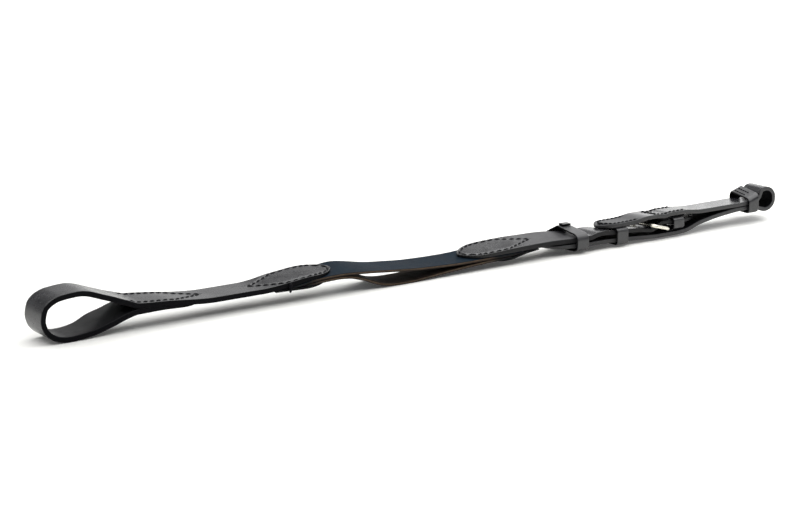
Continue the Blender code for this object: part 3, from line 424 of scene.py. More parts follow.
billet_under = Level(
    (SPLICE_KEEPER_SPAN[1], main_strap_under(SPLICE_KEEPER_SPAN[1])),
    (SPLICE_END, MAIN_LIFT - 0.9),
    (FREE_BAR_X - 3.5, UNDER_FREE_BAR + 0.4),
    (FREE_BAR_X + 0.5, UNDER_FREE_BAR),
    (FREE_BAR_X + 4.0, UNDER_FREE_BAR + 0.3 * (OVER_HEEL - UNDER_FREE_BAR)),
    (HEEL_X - 3.0, OVER_HEEL),
    (HEEL_X + 0.5, OVER_HEEL),
    (BILLET_KEEPER_SPAN[0], BILLET_REST),
    (BILLET_TIP, BILLET_REST),
)

SLIDING_KEEPER_LOW = buckle_strap_under(SLIDING_KEEPER_SPAN[1]) - SLIDING_KEEPER_SLACK
SLIDING_KEEPER_HIGH = main_strap_under(SLIDING_KEEPER_SPAN[0]) + MAIN_PLY + SLIDING_KEEPER_HEADROOM
SPLICE_KEEPER_LOW = buckle_strap_under(SPLICE_KEEPER_SPAN[1]) - PLY_GAP
SPLICE_KEEPER_HIGH = main_strap_under(SPLICE_KEEPER_SPAN[0]) + BILLET_PLY + PLY_GAP
LOOP_KEEPER_LOW = LOWER_STRAND_LIFT - LOOP_KEEPER_SLACK
LOOP_KEEPER_HIGH = STRAND_LIFT + BUCKLE_STRAP_PLY + LOOP_KEEPER_HEADROOM
OVER_SPLICE_KEEPER = SPLICE_KEEPER_HIGH + KEEPER_PLY + PLY_GAP
OVER_BILLET_KEEPER = BILLET_KEEPER_HIGH + KEEPER_PLY + PLY_GAP
OVER_BILLET = OVER_HEEL + BILLET_PLY + PLY_GAP
LINING_DEPTH = LINING_PLY + PLY_GAP
OVER_PRONG = FREE_BAR_Z + PRONG_RADIUS + PRONG_PLY / 2 + PRONG_CLEARANCE

upper_strand_under = Level(
    (SPLICE_TIP, OVER_SPLICE_KEEPER),
    (SPLICE_KEEPER_SPAN[0], OVER_SPLICE_KEEPER),
    (SPLICE_KEEPER_SPAN[1], OVER_SPLICE_KEEPER),
    (SPLICE_END - 3.0, OVER_SPLICE_KEEPER + 0.2),
    (FREE_BAR_X - 1.0, OVER_PRONG),
    (FREE_BAR_X + 3.5, OVER_PRONG),
    (HEEL_X - 1.5, OVER_BILLET + LINING_DEPTH),
    (BILLET_KEEPER_SPAN[0], OVER_BILLET_KEEPER + LINING_DEPTH),
    (BILLET_KEEPER_SPAN[1], OVER_BILLET_KEEPER + LINING_DEPTH),
    (BILLET_TIP + 2.0, STRAND_LIFT),
    (LOOP_KEEPER_SPAN[1] - 3.0, STRAND_LIFT),
)

# Thickness of the two leather laps
left_lap_ply = Level(
    (LEFT_LAP_START, LOOP_PLY),
    (LEFT_LEAF_TIP - LEAF_LENGTH, (LOOP_PLY + LEFT_LEAF_PLY) / 2),
    (LEFT_LEAF_TIP, LEFT_LEAF_PLY),
)
right_lap_ply = Level(
    (RIGHT_LEAF_TIP, RIGHT_LEAF_PLY),
    (RIGHT_LAP_END - 22.0, 0.4 * RIGHT_LEAF_PLY + 0.6 * MAIN_PLY),
    (RIGHT_LAP_END, MAIN_PLY),
)

LEFT_LEAF_STEPS = (LEFT_LEAF_TIP - LEAF_LENGTH, LEFT_LEAF_TIP - LEAF_LENGTH / 2, LEFT_LEAF_TIP)


def mid(under, ply):
    """The middle of a layer whose under face follows a level."""
    return lambda x: (x, under(x) + ply / 2, ply)


def hung(under, depth, ply):
    """The middle of a layer that hangs at a depth below the face that a level gives."""
    return lambda x: (x, under(x) - depth - ply / 2, ply)


# Fineness of the skins
ROUTE_PIECES = 40
COARSE_STEP = 1.6
FINE_STEP = 0.6
TOP_COLUMNS = 46
UNDER_COLUMNS = 10
ROUND_STEPS = 4
LEAF_STEPS = 16
WIRE_SIDES = 28
RING_STEP = 0.8
KEEPER_CORNER_STEPS = 8
FRAME_CORNER_STEPS = 10
HOLE_CORNER_STEPS = 6
THREAD_SIDES = 8
STITCH_POINTS = 7
LINING_STEPS = 9
SHARP_TURN = math.radians(4.0)
TIP_BLUNTNESS = 0.06

# Hand-made unevenness of the leather
EDGE_WAVER = 0.10
FACE_WAVER = 0.05
WAVER_LENGTH = 14.0

# How far the dressing of a cut edge reaches in over the face
RIM_REACH = 1.6

# Stitch holes and the groove that a tight thread pulls into the leather
GROOVE_DEPTH = 0.32
GROOVE_REACH = 0.80
HOLE_DIP_DEPTH = 0.34
HOLE_DIP_REACH = 0.50
STITCH_RADIUS = 0.50
STITCH_SLANT = 0.16
STITCH_LIFT = 0.55
STITCH_SINK = 2.4
STITCH_TAPER = 0.45
FINE_STITCH_PITCH = 3.0
FINE_STITCH_RADIUS = 0.60
FINE_DIP_DEPTH = 1.15
SEAM_MARGIN = 2.0
LEAF_SEAM_ANGLES = (28, 56, 90, 124, 152)
KEEPER_STITCH_FROM = -4.0
KEEPER_STITCH_PITCH = 2.5
KEEPER_STITCH_RADIUS = 0.38
KEEPER_STITCH_COUNT = 5
KEEPER_STITCH_ROWS = (LOOP_KEEPER_SPAN[0] + 1.6, LOOP_KEEPER_SPAN[0] + 4.4)

# Lapped end of the sliding keeper
TAB_WIDTH = 4.4
TAB_MIDDLE = 7.4
TAB_STEPS = (-2.6, 0.0, 3.4)


# Routes and sections

class Route:
    """A smooth route that can be asked for its place, ply and heading at any distance along it."""

    def __init__(self, points, start_leaf=0.0, end_leaf=0.0, fine=()):
        self.places = smooth_route(points)
        self.along = [0.0]
        for a, b in zip(self.places, self.places[1:]):
            self.along.append(self.along[-1] + math.hypot(b[0] - a[0], b[1] - a[1]))
        self.length = self.along[-1]
        self.start_leaf = start_leaf
        self.end_leaf = end_leaf
        self.fine = fine

    def place(self, distance):
        distance = min(max(distance, 0.0), self.length)
        i = min(max(bisect.bisect_right(self.along, distance) - 1, 0), len(self.places) - 2)
        span = self.along[i + 1] - self.along[i]
        share = (distance - self.along[i]) / span if span > 0.0 else 0.0
        return tuple(a + (b - a) * share for a, b in zip(self.places[i], self.places[i + 1]))

    def heading(self, distance, reach=0.4):
        a = self.place(distance - reach)
        b = self.place(distance + reach)
        return math.atan2(b[1] - a[1], b[0] - a[0])

    def step_at(self, distance):
        x = self.place(distance)[0]
        if any(low <= x <= high for low, high in self.fine):
            return FINE_STEP
        turn = self.heading(distance + COARSE_STEP) - self.heading(distance)
        turn = abs(math.remainder(turn, 2.0 * math.pi))
        return FINE_STEP if turn > SHARP_TURN else COARSE_STEP

    def stations(self):
        """Distances at which a strip is skinned: closer where it bends, is sewn or narrows to a leaf."""
        found = [0.0]
        while found[-1] < self.length - 1.2 * COARSE_STEP:
            found.append(found[-1] + self.step_at(found[-1]))
        found.append(self.length)
        shares = [1.0 - math.cos(0.5 * math.pi * k / LEAF_STEPS) for k in range(LEAF_STEPS + 1)]
        if self.start_leaf:
            found = [d for d in found if d > self.start_leaf] + [self.start_leaf * s for s in shares]
        if self.end_leaf:
            found = [d for d in found if d < self.length - self.end_leaf]
            found += [self.length - self.end_leaf * s for s in shares]
        return sorted(found)

    def half_width(self, distance, full):
        from_start = tip_half_width(full, distance, self.start_leaf)
        from_end = tip_half_width(full, self.length - distance, self.end_leaf)
        return min(from_start, from_end)


def tip_half_width(full, distance, length):
    """Half the width of a leaf-shaped end at a distance from its tip."""
    if distance >= length:
        return full
    share = max(1.0 - distance / length, 0.0)
    return max(full * (1.0 - share * share) ** LEAF_SHARPNESS, TIP_BLUNTNESS * full)


def section(half, ply, columns=TOP_COLUMNS):
    """Round a strip's cut end from its far top edge: (across, up, face) with 0 top, 1 edge and 2 under."""
    ease = min(EDGE_ROUND, 0.42 * ply, 0.45 * half)
    flat = half - ease
    up = ply / 2
    points = [(flat - 2.0 * flat * k / columns, up, 0) for k in range(columns)]

    def corner(sign_across, sign_up, start, faces):
        for k in range(ROUND_STEPS):
            angle = math.radians(start + 90.0 * k / ROUND_STEPS)
            across = sign_across * flat + ease * math.cos(angle)
            height = sign_up * (up - ease) + ease * math.sin(angle)
            points.append((across, height, faces[0] if 2 * k < ROUND_STEPS else faces[1]))

    corner(-1, 1, 90.0, (0, 1))
    points.append((-half, up - ease, 1))
    corner(-1, -1, 180.0, (1, 2))
    points.extend((-flat + 2.0 * flat * k / UNDER_COLUMNS, -up, 2) for k in range(UNDER_COLUMNS))
    corner(1, -1, 270.0, (2, 1))
    points.append((half, -up + ease, 1))
    corner(1, 1, 0.0, (1, 0))
    return points


def wavered(distance, seed):
    """A small, slow unevenness from -1 to 1."""
    return noise.noise(Vector((distance / WAVER_LENGTH, 7.3 * seed, 1.7 * seed)))


# Meshes

def add_piece(name, tool, materials):
    bmesh.ops.recalc_face_normals(tool, faces=tool.faces)
    mesh = bpy.data.meshes.new(name)
    tool.to_mesh(mesh)
    tool.free()
    mesh.shade_smooth()
    for material in materials:
        mesh.materials.append(material)
    obj = bpy.data.objects.new(name, mesh)
    bpy.context.scene.collection.objects.link(obj)
    return obj


def skin(rings, closed, faces_of, rims):
    """Faces between rings of places; each side of a ring has its own material, each place its rim value."""
    tool = bmesh.new()
    rim_layer = tool.verts.layers.float.new("rim")
    loops = []
    for ring, ring_rims in zip(rings, rims):
        loop = []
        for place, rim in zip(ring, ring_rims):
            vert = tool.verts.new(place * MM)
            vert[rim_layer] = rim
            loop.append(vert)
        loops.append(loop)
    pairs = list(zip(loops, loops[1:] + loops[:1])) if closed else list(zip(loops, loops[1:]))
    for first, second in pairs:
        for k in range(len(first)):
            after = (k + 1) % len(first)
            face = tool.faces.new((first[k], first[after], second[after], second[k]))
            face.material_index = faces_of[k]
    if not closed:
        for cap in (loops[0][::-1], loops[-1]):
            face = tool.faces.new(cap)
            face.material_index = min(1, max(faces_of))
    return tool


def rim_of(across, half, face):
    """1 on the cut edge, falling to 0 a little way in from it."""
    if face == 1:
        return 1.0
    return max(0.0, 1.0 - (half - abs(across)) / RIM_REACH)


def strip(name, route, materials, half=HALF_WIDTH, place=leaned, relief=None, bare_and_shade=None, seed=1.0):
    """A strip of leather along a route, with soft edges and a slightly uneven cut.

    The edge function tells how much of its dye a cut edge has lost at an x, from 0 to 1; its drop towards the
    lower part of the edge within its ply is painted shade.
    """
    rings = []
    rims = []
    faces_of = [point[2] for point in section(half, BAND_PLY)]
    for distance in route.stations():
        x, z, ply = route.place(distance)
        angle = route.heading(distance)
        normal = (-math.sin(angle), math.cos(angle))
        width = route.half_width(distance, half) - EDGE_WAVER * abs(wavered(distance, seed))
        ring = []
        ring_rims = []
        for across, up, face in section(width, ply):
            if face == 0:
                up -= FACE_WAVER * abs(wavered(distance + 0.7 * across, seed + 3.0))
                if relief and math.cos(angle) > 0.5:
                    up -= relief(x, across)
            ring.append(place(x + up * normal[0], across, z + up * normal[1]))
            ring_rims.append(rim_of(across, width, face) * (bare_and_shade(x, up / ply) if bare_and_shade else 1.0))
        rings.append(ring)
        rims.append(ring_rims)
    return add_piece(name, skin(rings, False, faces_of, rims), materials)


def ring_round(place, forward, radius, sides):
    """A ring of places round a wire or thread that lies nearly level."""
    side = forward.cross(Vector((0.0, 0.0, 1.0))).normalized()
    up = side.cross(forward)
    angles = [2.0 * math.pi * k / sides for k in range(sides)]
    return [place + radius * (math.cos(a) * side + math.sin(a) * up) for a in angles]


def cut(obj, cutter):
    """Takes the cutter's shape out of an object for good."""
    difference = obj.modifiers.new(cutter.name, "BOOLEAN")
    difference.operation = "DIFFERENCE"
    difference.solver = "EXACT"
    difference.object = cutter
    bpy.context.view_layer.update()
    shown = obj.evaluated_get(bpy.context.evaluated_depsgraph_get())
    old = obj.data
    obj.data = bpy.data.meshes.new_from_object(shown)
    obj.modifiers.clear()
    bpy.data.meshes.remove(old)
    bpy.data.meshes.remove(cutter.data)


def prism(name, outline, low, high, material):
    """An upright prism over a closed outline of places at height 0."""
    rings = [[place + Vector((0.0, 0.0, height)) for place in outline] for height in (low, high)]
    sides = [0] * len(outline)
    return add_piece(name, skin(rings, False, sides, [[1.0] * len(outline)] * 2), [material])


def rounded_box(half_a, low_b, high_b, corner, steps):
    """Places round a rectangle with round corners, as (a, b) pairs."""
    corners = (
        (half_a - corner, high_b - corner, 0.0),
        (-half_a + corner, high_b - corner, 90.0),
        (-half_a + corner, low_b + corner, 180.0),
        (half_a - corner, low_b + corner, 270.0),
    )
    places = []
    for centre_a, centre_b, start in corners:
        places += arc(centre_a, centre_b, corner, corner, start, start + 90.0, steps)
    return places


def closely(line, step):
    """A closed line of (a, b) pairs with no side longer than a step."""
    dense = []
    for a, b in zip(line, line[1:] + line[:1]):
        count = max(1, math.ceil(math.dist(a, b) / step))
        dense += [(a[0] + (b[0] - a[0]) * k / count, a[1] + (b[1] - a[1]) * k / count) for k in range(count)]
    return dense


# Seams

class Seam:
    """A row of stitches along straight runs between (x, y) corners on the face above a level."""

    def __init__(self, corners, under, ply, pitch, radius, closed, dip=HOLE_DIP_DEPTH):
        self.under = under
        self.ply = ply
        self.radius = radius
        self.dip = dip
        ends = corners + corners[:1] if closed else corners
        self.runs = list(zip(ends, ends[1:]))
        self.holes = []
        self.stitches = []
        for a, b in self.runs:
            count = max(1, round(math.dist(a, b) / pitch))
            marks = [
                (a[0] + (b[0] - a[0]) * k / count, a[1] + (b[1] - a[1]) * k / count) for k in range(count + 1)
            ]
            self.holes += marks[:-1]
            self.stitches += list(zip(marks, marks[1:]))
        if not closed:
            self.holes.append(ends[-1])
        xs = [hole[0] for hole in self.holes]
        self.span = (min(xs) - SEAM_MARGIN, max(xs) + SEAM_MARGIN)

    def face(self, x):
        slope = self.under(x + 0.5) - self.under(x - 0.5)
        return self.under(x) + self.ply(x) / 2 * (1.0 + math.hypot(1.0, slope))

    def depth(self, x, y):
        """How far the face is pulled down at a place."""
        if not self.span[0] < x < self.span[1]:
            return 0.0
        nearest = min(run_distance(x, y, a, b) for a, b in self.runs)
        groove = GROOVE_DEPTH * math.exp(-((nearest / GROOVE_REACH) ** 2))
        if nearest > 4.0 * HOLE_DIP_REACH:
            return groove
        hole = min(math.hypot(x - hx, y - hy) for hx, hy in self.holes)
        return groove + self.dip * math.exp(-((hole / HOLE_DIP_REACH) ** 2))

    def thread(self, name, material):
        """Each stitch as a short plump thread whose two ends go down into their holes."""
        tool = bmesh.new()
        for a, b in self.stitches:
            ahead = Vector((b[0] - a[0], b[1] - a[1]))
            across = Vector((-ahead.y, ahead.x)) * STITCH_SLANT
            rings = []
            for k in range(STITCH_POINTS):
                share = k / (STITCH_POINTS - 1)
                x = a[0] + ahead.x * share + across.x * (share - 0.5)
                y = a[1] + ahead.y * share + across.y * (share - 0.5)
                end = abs(2.0 * share - 1.0) ** 3
                height = self.face(x) - GROOVE_DEPTH + self.radius * (STITCH_LIFT - STITCH_SINK * end)
                rings.append((leaned(x, y, height), self.radius * (1.0 - STITCH_TAPER * end)))
            add_tube(tool, rings, THREAD_SIDES)
        return add_piece(name, tool, [material])


def run_distance(x, y, a, b):
    """Distance of a place from the straight run between two corners."""
    run_x = b[0] - a[0]
    run_y = b[1] - a[1]
    share = ((x - a[0]) * run_x + (y - a[1]) * run_y) / (run_x * run_x + run_y * run_y)
    share = min(max(share, 0.0), 1.0)
    return math.hypot(x - a[0] - share * run_x, y - a[1] - share * run_y)


def add_tube(tool, stops, sides):
    """Adds a capped tube through (place, radius) stops to a mesh."""
    loops = []
    last = len(stops) - 1
    for i, (place, radius) in enumerate(stops):
        forward = (stops[min(i + 1, last)][0] - stops[max(i - 1, 0)][0]).normalized()
        loops.append([tool.verts.new(p * MM) for p in ring_round(place, forward, radius, sides)])
    for first, second in zip(loops, loops[1:]):
        for k in range(sides):
            after = (k + 1) % sides
            tool.faces.new((first[k], first[after], second[after], second[k]))
    tool.faces.new(loops[0][::-1])
    tool.faces.new(loops[-1])


def leaf_corners(tip_x, length, way):
    """A leaf of stitching: a round end that follows the leaf's tip, and a point back along the strap."""
    point_x = tip_x - way * length
    row = HALF_WIDTH - LEAF_SEAM_INSET
    end = tip_x - way * LEAF_SEAM_INSET
    shoulder = end - way * (LEAF_LENGTH - LEAF_SEAM_INSET)
    near = [(point_x + way * SEAM_POINT_LENGTH, -row), (shoulder, -row)]
    round_end = [
        (
            shoulder + (end - shoulder) * math.sin(math.radians(a)),
            -row * powered(math.cos(math.radians(a)), 2.0 * LEAF_SHARPNESS),
        )
        for a in LEAF_SEAM_ANGLES
    ]
    far = [(x, -y) for x, y in reversed(near)]
    return [(point_x, 0.0)] + near + round_end + far


SEAM_ROW = HALF_WIDTH - SEAM_INSET
LOOP_SEAM_START = LOOP_NECK_X - LOOP_SEAM_BEFORE_NECK
LOOP_SEAM_POINT = LOOP_NECK_X + LOOP_SEAM_AFTER_NECK
LOOP_SEAM_SHOULDER = LOOP_SEAM_POINT - SEAM_POINT_LENGTH
LINING_SEAM_START = HEEL_X - LINING_SEAM_BEFORE_HEEL
LINING_SEAM_END = HEEL_X + LINING_SEAM_AFTER_HEEL
SPLICE_SEAM_SHOULDER = SPLICE_TIP + 0.7 * SPLICE_LEAF_LENGTH

loop_seam = Seam(
    [
        (LOOP_SEAM_START, -SEAM_ROW), (LOOP_SEAM_SHOULDER, -SEAM_ROW), (LOOP_SEAM_POINT, 0.0),
        (LOOP_SEAM_SHOULDER, SEAM_ROW), (LOOP_SEAM_START, SEAM_ROW),
    ],
    loop_strap_under, lambda x: LOOP_PLY, STITCH_PITCH, STITCH_RADIUS, closed=False,
)
left_leaf_seam = Seam(
    leaf_corners(LEFT_LEAF_TIP, LEFT_SEAM_LENGTH, 1.0),
    loop_strap_under, left_lap_ply, STITCH_PITCH, STITCH_RADIUS, closed=True,
)
right_leaf_seam = Seam(
    leaf_corners(RIGHT_LEAF_TIP, RIGHT_SEAM_LENGTH, -1.0),
    main_strap_under, right_lap_ply, STITCH_PITCH, STITCH_RADIUS, closed=True,
)
splice_seam = Seam(
    [
        (SPLICE_END, -SEAM_ROW), (SPLICE_SEAM_SHOULDER, -SEAM_ROW), (SPLICE_TIP + SEAM_INSET, 0.0),
        (SPLICE_SEAM_SHOULDER, SEAM_ROW), (SPLICE_END, SEAM_ROW),
    ],
    upper_strand_under, lambda x: BUCKLE_STRAP_PLY, FINE_STITCH_PITCH, FINE_STITCH_RADIUS,
    closed=False, dip=FINE_DIP_DEPTH,
)
lining_seam = Seam(
    [
        (LINING_SEAM_END, -SEAM_ROW), (LINING_SEAM_START, -SEAM_ROW),
        (LINING_SEAM_START, SEAM_ROW), (LINING_SEAM_END, SEAM_ROW),
    ],
    upper_strand_under, lambda x: BUCKLE_STRAP_PLY, FINE_STITCH_PITCH, FINE_STITCH_RADIUS,
    closed=False, dip=FINE_DIP_DEPTH,
)


# Materials

# Depths of the bumps, in metres
GRAIN_DEPTH = 0.00006
FIBRE_DEPTH = 0.00012
SCRATCH_DEPTH = 0.00003
TWIST_DEPTH = 0.0001

# Scales of the textures, in features for each metre
GRAIN_CELLS = 1500.0
PORES = 3800.0
STREAKS = 420.0
BLOTCHES = 95.0
FIBRES = 2400.0
FIBRE_PATCHES = 160.0
SCRATCHES = 5200.0
DULL_PATCHES = 260.0
THREAD_TURNS = 420.0
WAX_PATCHES = 700.0
FLOOR_PATCHES = 3.0


def node(tree, kind, inputs=None, **settings):
    """A shader node with its inputs set to values or joined to other nodes' outputs."""
    made = tree.nodes.new(kind)
    for key, value in settings.items():
        setattr(made, key, value)
    for key, value in (inputs or {}).items():
        if isinstance(value, bpy.types.NodeSocket):
            tree.links.new(value, made.inputs[key])
        else:
            made.inputs[key].default_value = value
    return made


def new_material(name):
    material = bpy.data.materials.new(name)
    material.use_nodes = True
    tree = material.node_tree
    return material, tree, tree.nodes["Principled BSDF"]


def noise_value(tree, place, scale, detail=3.0, roughness=0.55):
    made = node(tree, "ShaderNodeTexNoise", {
        "Vector": place, "Scale": scale, "Detail": detail, "Roughness": roughness,
    })
    return made.outputs["Fac"]


def ranged(tree, value, low, high, from_low=0.3, from_high=0.7):
    made = node(tree, "ShaderNodeMapRange", {
        "Value": value, "From Min": from_low, "From Max": from_high, "To Min": low, "To Max": high,
    })
    return made.outputs["Result"]


def mixed(tree, share, first, second):
    made = node(tree, "ShaderNodeMix", data_type="RGBA")
    sockets = [s for s in made.inputs if s.type == "RGBA"]
    for socket, value in zip(sockets, (first, second)):
        if isinstance(value, bpy.types.NodeSocket):
            tree.links.new(value, socket)
        else:
            socket.default_value = (*value, 1.0)
    tree.links.new(share, made.inputs[0])
    return next(s for s in made.outputs if s.type == "RGBA")


def sum_of(tree, first, second, factor):
    made = node(tree, "ShaderNodeMath", {0: second, 1: factor, 2: first}, operation="MULTIPLY_ADD")
    return made.outputs[0]


def dress(tree, shader, colour, roughness, height, strength, distance):
    """Gives a shader its colour, its roughness and the bump that a height makes."""
    bump = node(tree, "ShaderNodeBump", {"Height": height, "Strength": strength, "Distance": distance})
    tree.links.new(colour, shader.inputs["Base Color"])
    tree.links.new(roughness, shader.inputs["Roughness"])
    tree.links.new(bump.outputs["Normal"], shader.inputs["Normal"])


def leather(name, dark, light, rim, roughness, specular, grain):
    """Dyed leather: pebbled grain with pores, blotchy dye and a rim that is dressed in its own colour.

    It is duller where a piece has worn values.
    """
    material, tree, shader = new_material(name)
    place = node(tree, "ShaderNodeTexCoord").outputs["Object"]
    cells = node(tree, "ShaderNodeTexVoronoi", {
        "Vector": place, "Scale": GRAIN_CELLS, "Randomness": 1.0,
    }, feature="DISTANCE_TO_EDGE").outputs["Distance"]
    creases = ranged(tree, cells, 0.0, 1.0, 0.0, 0.22)
    pores = noise_value(tree, place, PORES)
    blotches = noise_value(tree, place, BLOTCHES, 5.0)
    streaks = noise_value(tree, place, STREAKS, 4.0)
    edge = node(tree, "ShaderNodeAttribute", attribute_name="rim").outputs["Fac"]
    face_colour = mixed(tree, ranged(tree, blotches, 0.0, 1.0), dark, light)
    edge_share = ranged(tree, edge, 0.0, 1.0, 0.45, 1.0)
    colour = mixed(tree, edge_share, face_colour, rim)
    rough = ranged(tree, sum_of(tree, blotches, streaks, 0.5), roughness - 0.05, roughness + 0.07, 0.5, 1.0)
    worn = node(tree, "ShaderNodeAttribute", attribute_name="worn").outputs["Fac"]
    dulled = sum_of(tree, rough, worn, WORN_ROUGHNESS)
    height = sum_of(tree, sum_of(tree, creases, pores, 0.5), streaks, 0.5)
    dress(tree, shader, colour, dulled, height, grain, GRAIN_DEPTH)
    shader.inputs["Specular IOR Level"].default_value = specular
    return material


def fibre(name, dark, light, roughness, specular, depth, dye_and_shade=None):
    """Raw leather: a cut edge or flesh side with loose, streaky fibres, dark in the dye colour where its rim
    value is 0; on the bands' edges that value also carries painted shade.
    """
    material, tree, shader = new_material(name)
    place = node(tree, "ShaderNodeTexCoord").outputs["Object"]
    along = node(tree, "ShaderNodeMapping", {"Vector": place, "Scale": (0.28, 1.0, 1.6)}).outputs["Vector"]
    strands = noise_value(tree, along, FIBRES, 5.0, 0.65)
    patches = noise_value(tree, place, FIBRE_PATCHES, 4.0)
    share = ranged(tree, sum_of(tree, strands, patches, 0.7), 0.0, 1.0, 0.6, 1.15)
    colour = mixed(tree, share, dark, light)
    if dye_and_shade:
        edge = node(tree, "ShaderNodeAttribute", attribute_name="rim").outputs["Fac"]
        colour = mixed(tree, edge, dye_and_shade, colour)
    rough = ranged(tree, patches, roughness - 0.06, roughness + 0.06)
    dress(tree, shader, colour, rough, strands, depth, FIBRE_DEPTH)
    shader.inputs["Specular IOR Level"].default_value = specular
    return material


def plating(name, bright, dull, roughness):
    """Plated metal with fine rubbed scratches and a little warm dulling."""
    material, tree, shader = new_material(name)
    place = node(tree, "ShaderNodeTexCoord").outputs["Object"]
    rubbed = node(tree, "ShaderNodeMapping", {"Vector": place, "Scale": (0.25, 1.0, 1.0)}).outputs["Vector"]
    scratches = noise_value(tree, rubbed, SCRATCHES, 4.0, 0.7)
    dulling = noise_value(tree, place, DULL_PATCHES, 5.0)
    colour = mixed(tree, ranged(tree, dulling, 0.0, 1.0), bright, dull)
    rough = ranged(tree, sum_of(tree, dulling, scratches, 0.6), roughness - 0.06, roughness + 0.10, 0.5, 1.1)
    dress(tree, shader, colour, rough, scratches, 0.06, SCRATCH_DEPTH)
    shader.inputs["Metallic"].default_value = 1.0
    return material


def waxed_thread(name, dark, light):
    """Twisted, waxed thread."""
    material, tree, shader = new_material(name)
    place = node(tree, "ShaderNodeTexCoord").outputs["Object"]
    turns = node(tree, "ShaderNodeTexWave", {
        "Vector": place, "Scale": THREAD_TURNS, "Distortion": 1.5, "Detail": 2.0,
    }, wave_type="BANDS", bands_direction="DIAGONAL").outputs["Fac"]
    wax = noise_value(tree, place, WAX_PATCHES, 3.0)
    rough = ranged(tree, wax, 0.45, 0.65)
    dress(tree, shader, mixed(tree, turns, dark, light), rough, turns, 0.5, TWIST_DEPTH)
    shader.inputs["Specular IOR Level"].default_value = 0.12
    return material


WORN_ROUGHNESS = 0.22
BLACK = (0.0035, 0.0035, 0.0045)
SOOT = (0.008, 0.008, 0.010)
GREY = (0.018, 0.018, 0.020)
strap_grain = leather("strap_grain", (0.007, 0.007, 0.009), (0.013, 0.013, 0.016), BLACK, 0.25, 0.55, 0.06)
strap_edge = leather("strap_edge", BLACK, SOOT, BLACK, 0.60, 0.05, 0.5)
# A lighter copy of the strap's cut edge for the buckle strap: painted light standing for the stronger light
# towards the buckle end
edge_with_painted_light = leather("edge_with_painted_light", GREY, (0.034, 0.034, 0.037), GREY, 0.40, 0.60, 0.4)
billet_edge = leather("billet_edge", BLACK, SOOT, BLACK, 0.50, 0.30, 0.4)
strap_flesh = fibre("strap_flesh", BLACK, SOOT, 0.50, 0.28, 0.4)
# A darker copy of the strap's flesh side, on the under faces of the buckle strap, keepers and keeper tab:
# painted shade for the dark insides of the end loop and keepers
flesh_with_painted_shade = fibre("flesh_with_painted_shade", (0.0015, 0.0015, 0.002), BLACK, 0.80, 0.05, 0.5)
band_grain = leather("band_grain", (0.005, 0.010, 0.017), (0.009, 0.018, 0.028), BLACK, 0.50, 0.03, 0.20)
band_edge = fibre("band_edge", (0.030, 0.020, 0.013), (0.110, 0.076, 0.050), 0.78, 0.20, 0.7, BLACK)
band_flesh = fibre("band_flesh", (0.008, 0.005, 0.003), (0.028, 0.019, 0.012), 0.85, 0.12, 0.8)
keeper_grain = leather("keeper_grain", (0.012, 0.012, 0.014), (0.022, 0.022, 0.025), SOOT, 0.34, 0.7, 0.30)
plated_steel = plating("plated_steel", (0.90, 0.88, 0.80), (0.76, 0.72, 0.62), 0.24)
prong_steel = plating("prong_steel", (0.76, 0.74, 0.69), (0.58, 0.56, 0.51), 0.30)
thread = waxed_thread("thread", (0.002, 0.002, 0.003), (0.012, 0.012, 0.014))

STRAP_SKIN = [strap_grain, strap_edge, strap_flesh]
BUCKLE_STRAP_SKIN = [strap_grain, edge_with_painted_light, flesh_with_painted_shade]
BAND_SKIN = [band_grain, band_edge, band_flesh]
KEEPER_SKIN = [keeper_grain, strap_edge, flesh_with_painted_shade]

# Stretch of the bands whose cut edges show undyed leather; the lower part of each edge is kept darker there,
# which is painted shade
BARE_FROM = LEFT_LAP_START + 18.0
BARE_TO = RIGHT_LAP_END - 25.0
BARE_FADE = 5.0


def undyed_and_shaded_below(x, height):
    start = eased(x, (BARE_FROM - BARE_FADE, BARE_FROM + BARE_FADE))
    end = eased(x, (BARE_TO + BARE_FADE, BARE_TO - BARE_FADE))
    # The black comes back towards the lower part of each bare edge: painted shade, not dye
    return start * end * (0.35 + 0.65 * eased(height, (-0.25, 0.15)))


def wear(piece, worn):
    """Marks how worn each place of a piece is at its x, from 0 to 1."""
    marks = piece.data.attributes.new("worn", "FLOAT", "POINT")
    for vert, mark in zip(piece.data.vertices, marks.data):
        mark.value = worn(vert.co.x / MM)
    return piece


# The splice is rubbed dull up to the buckle, and the strap where the loose keeper slides on it
SPLICE_WEAR = (FREE_BAR_X + 3.0, SPLICE_END - 3.0)
SLIDE_WEAR = (SLIDING_KEEPER_SPAN[0] - 42.0, SLIDING_KEEPER_SPAN[0] - 8.0)
SLIDE_WEAR_END = (SLIDING_KEEPER_SPAN[1] + 4.0, SLIDING_KEEPER_SPAN[1] - 2.0)


def settle(piece, body, slot, *nodes):
    """Makes a piece move with its body and stand for the solids it covers."""
    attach(piece, body)
    if nodes:
        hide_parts(*nodes)


# Leather pieces

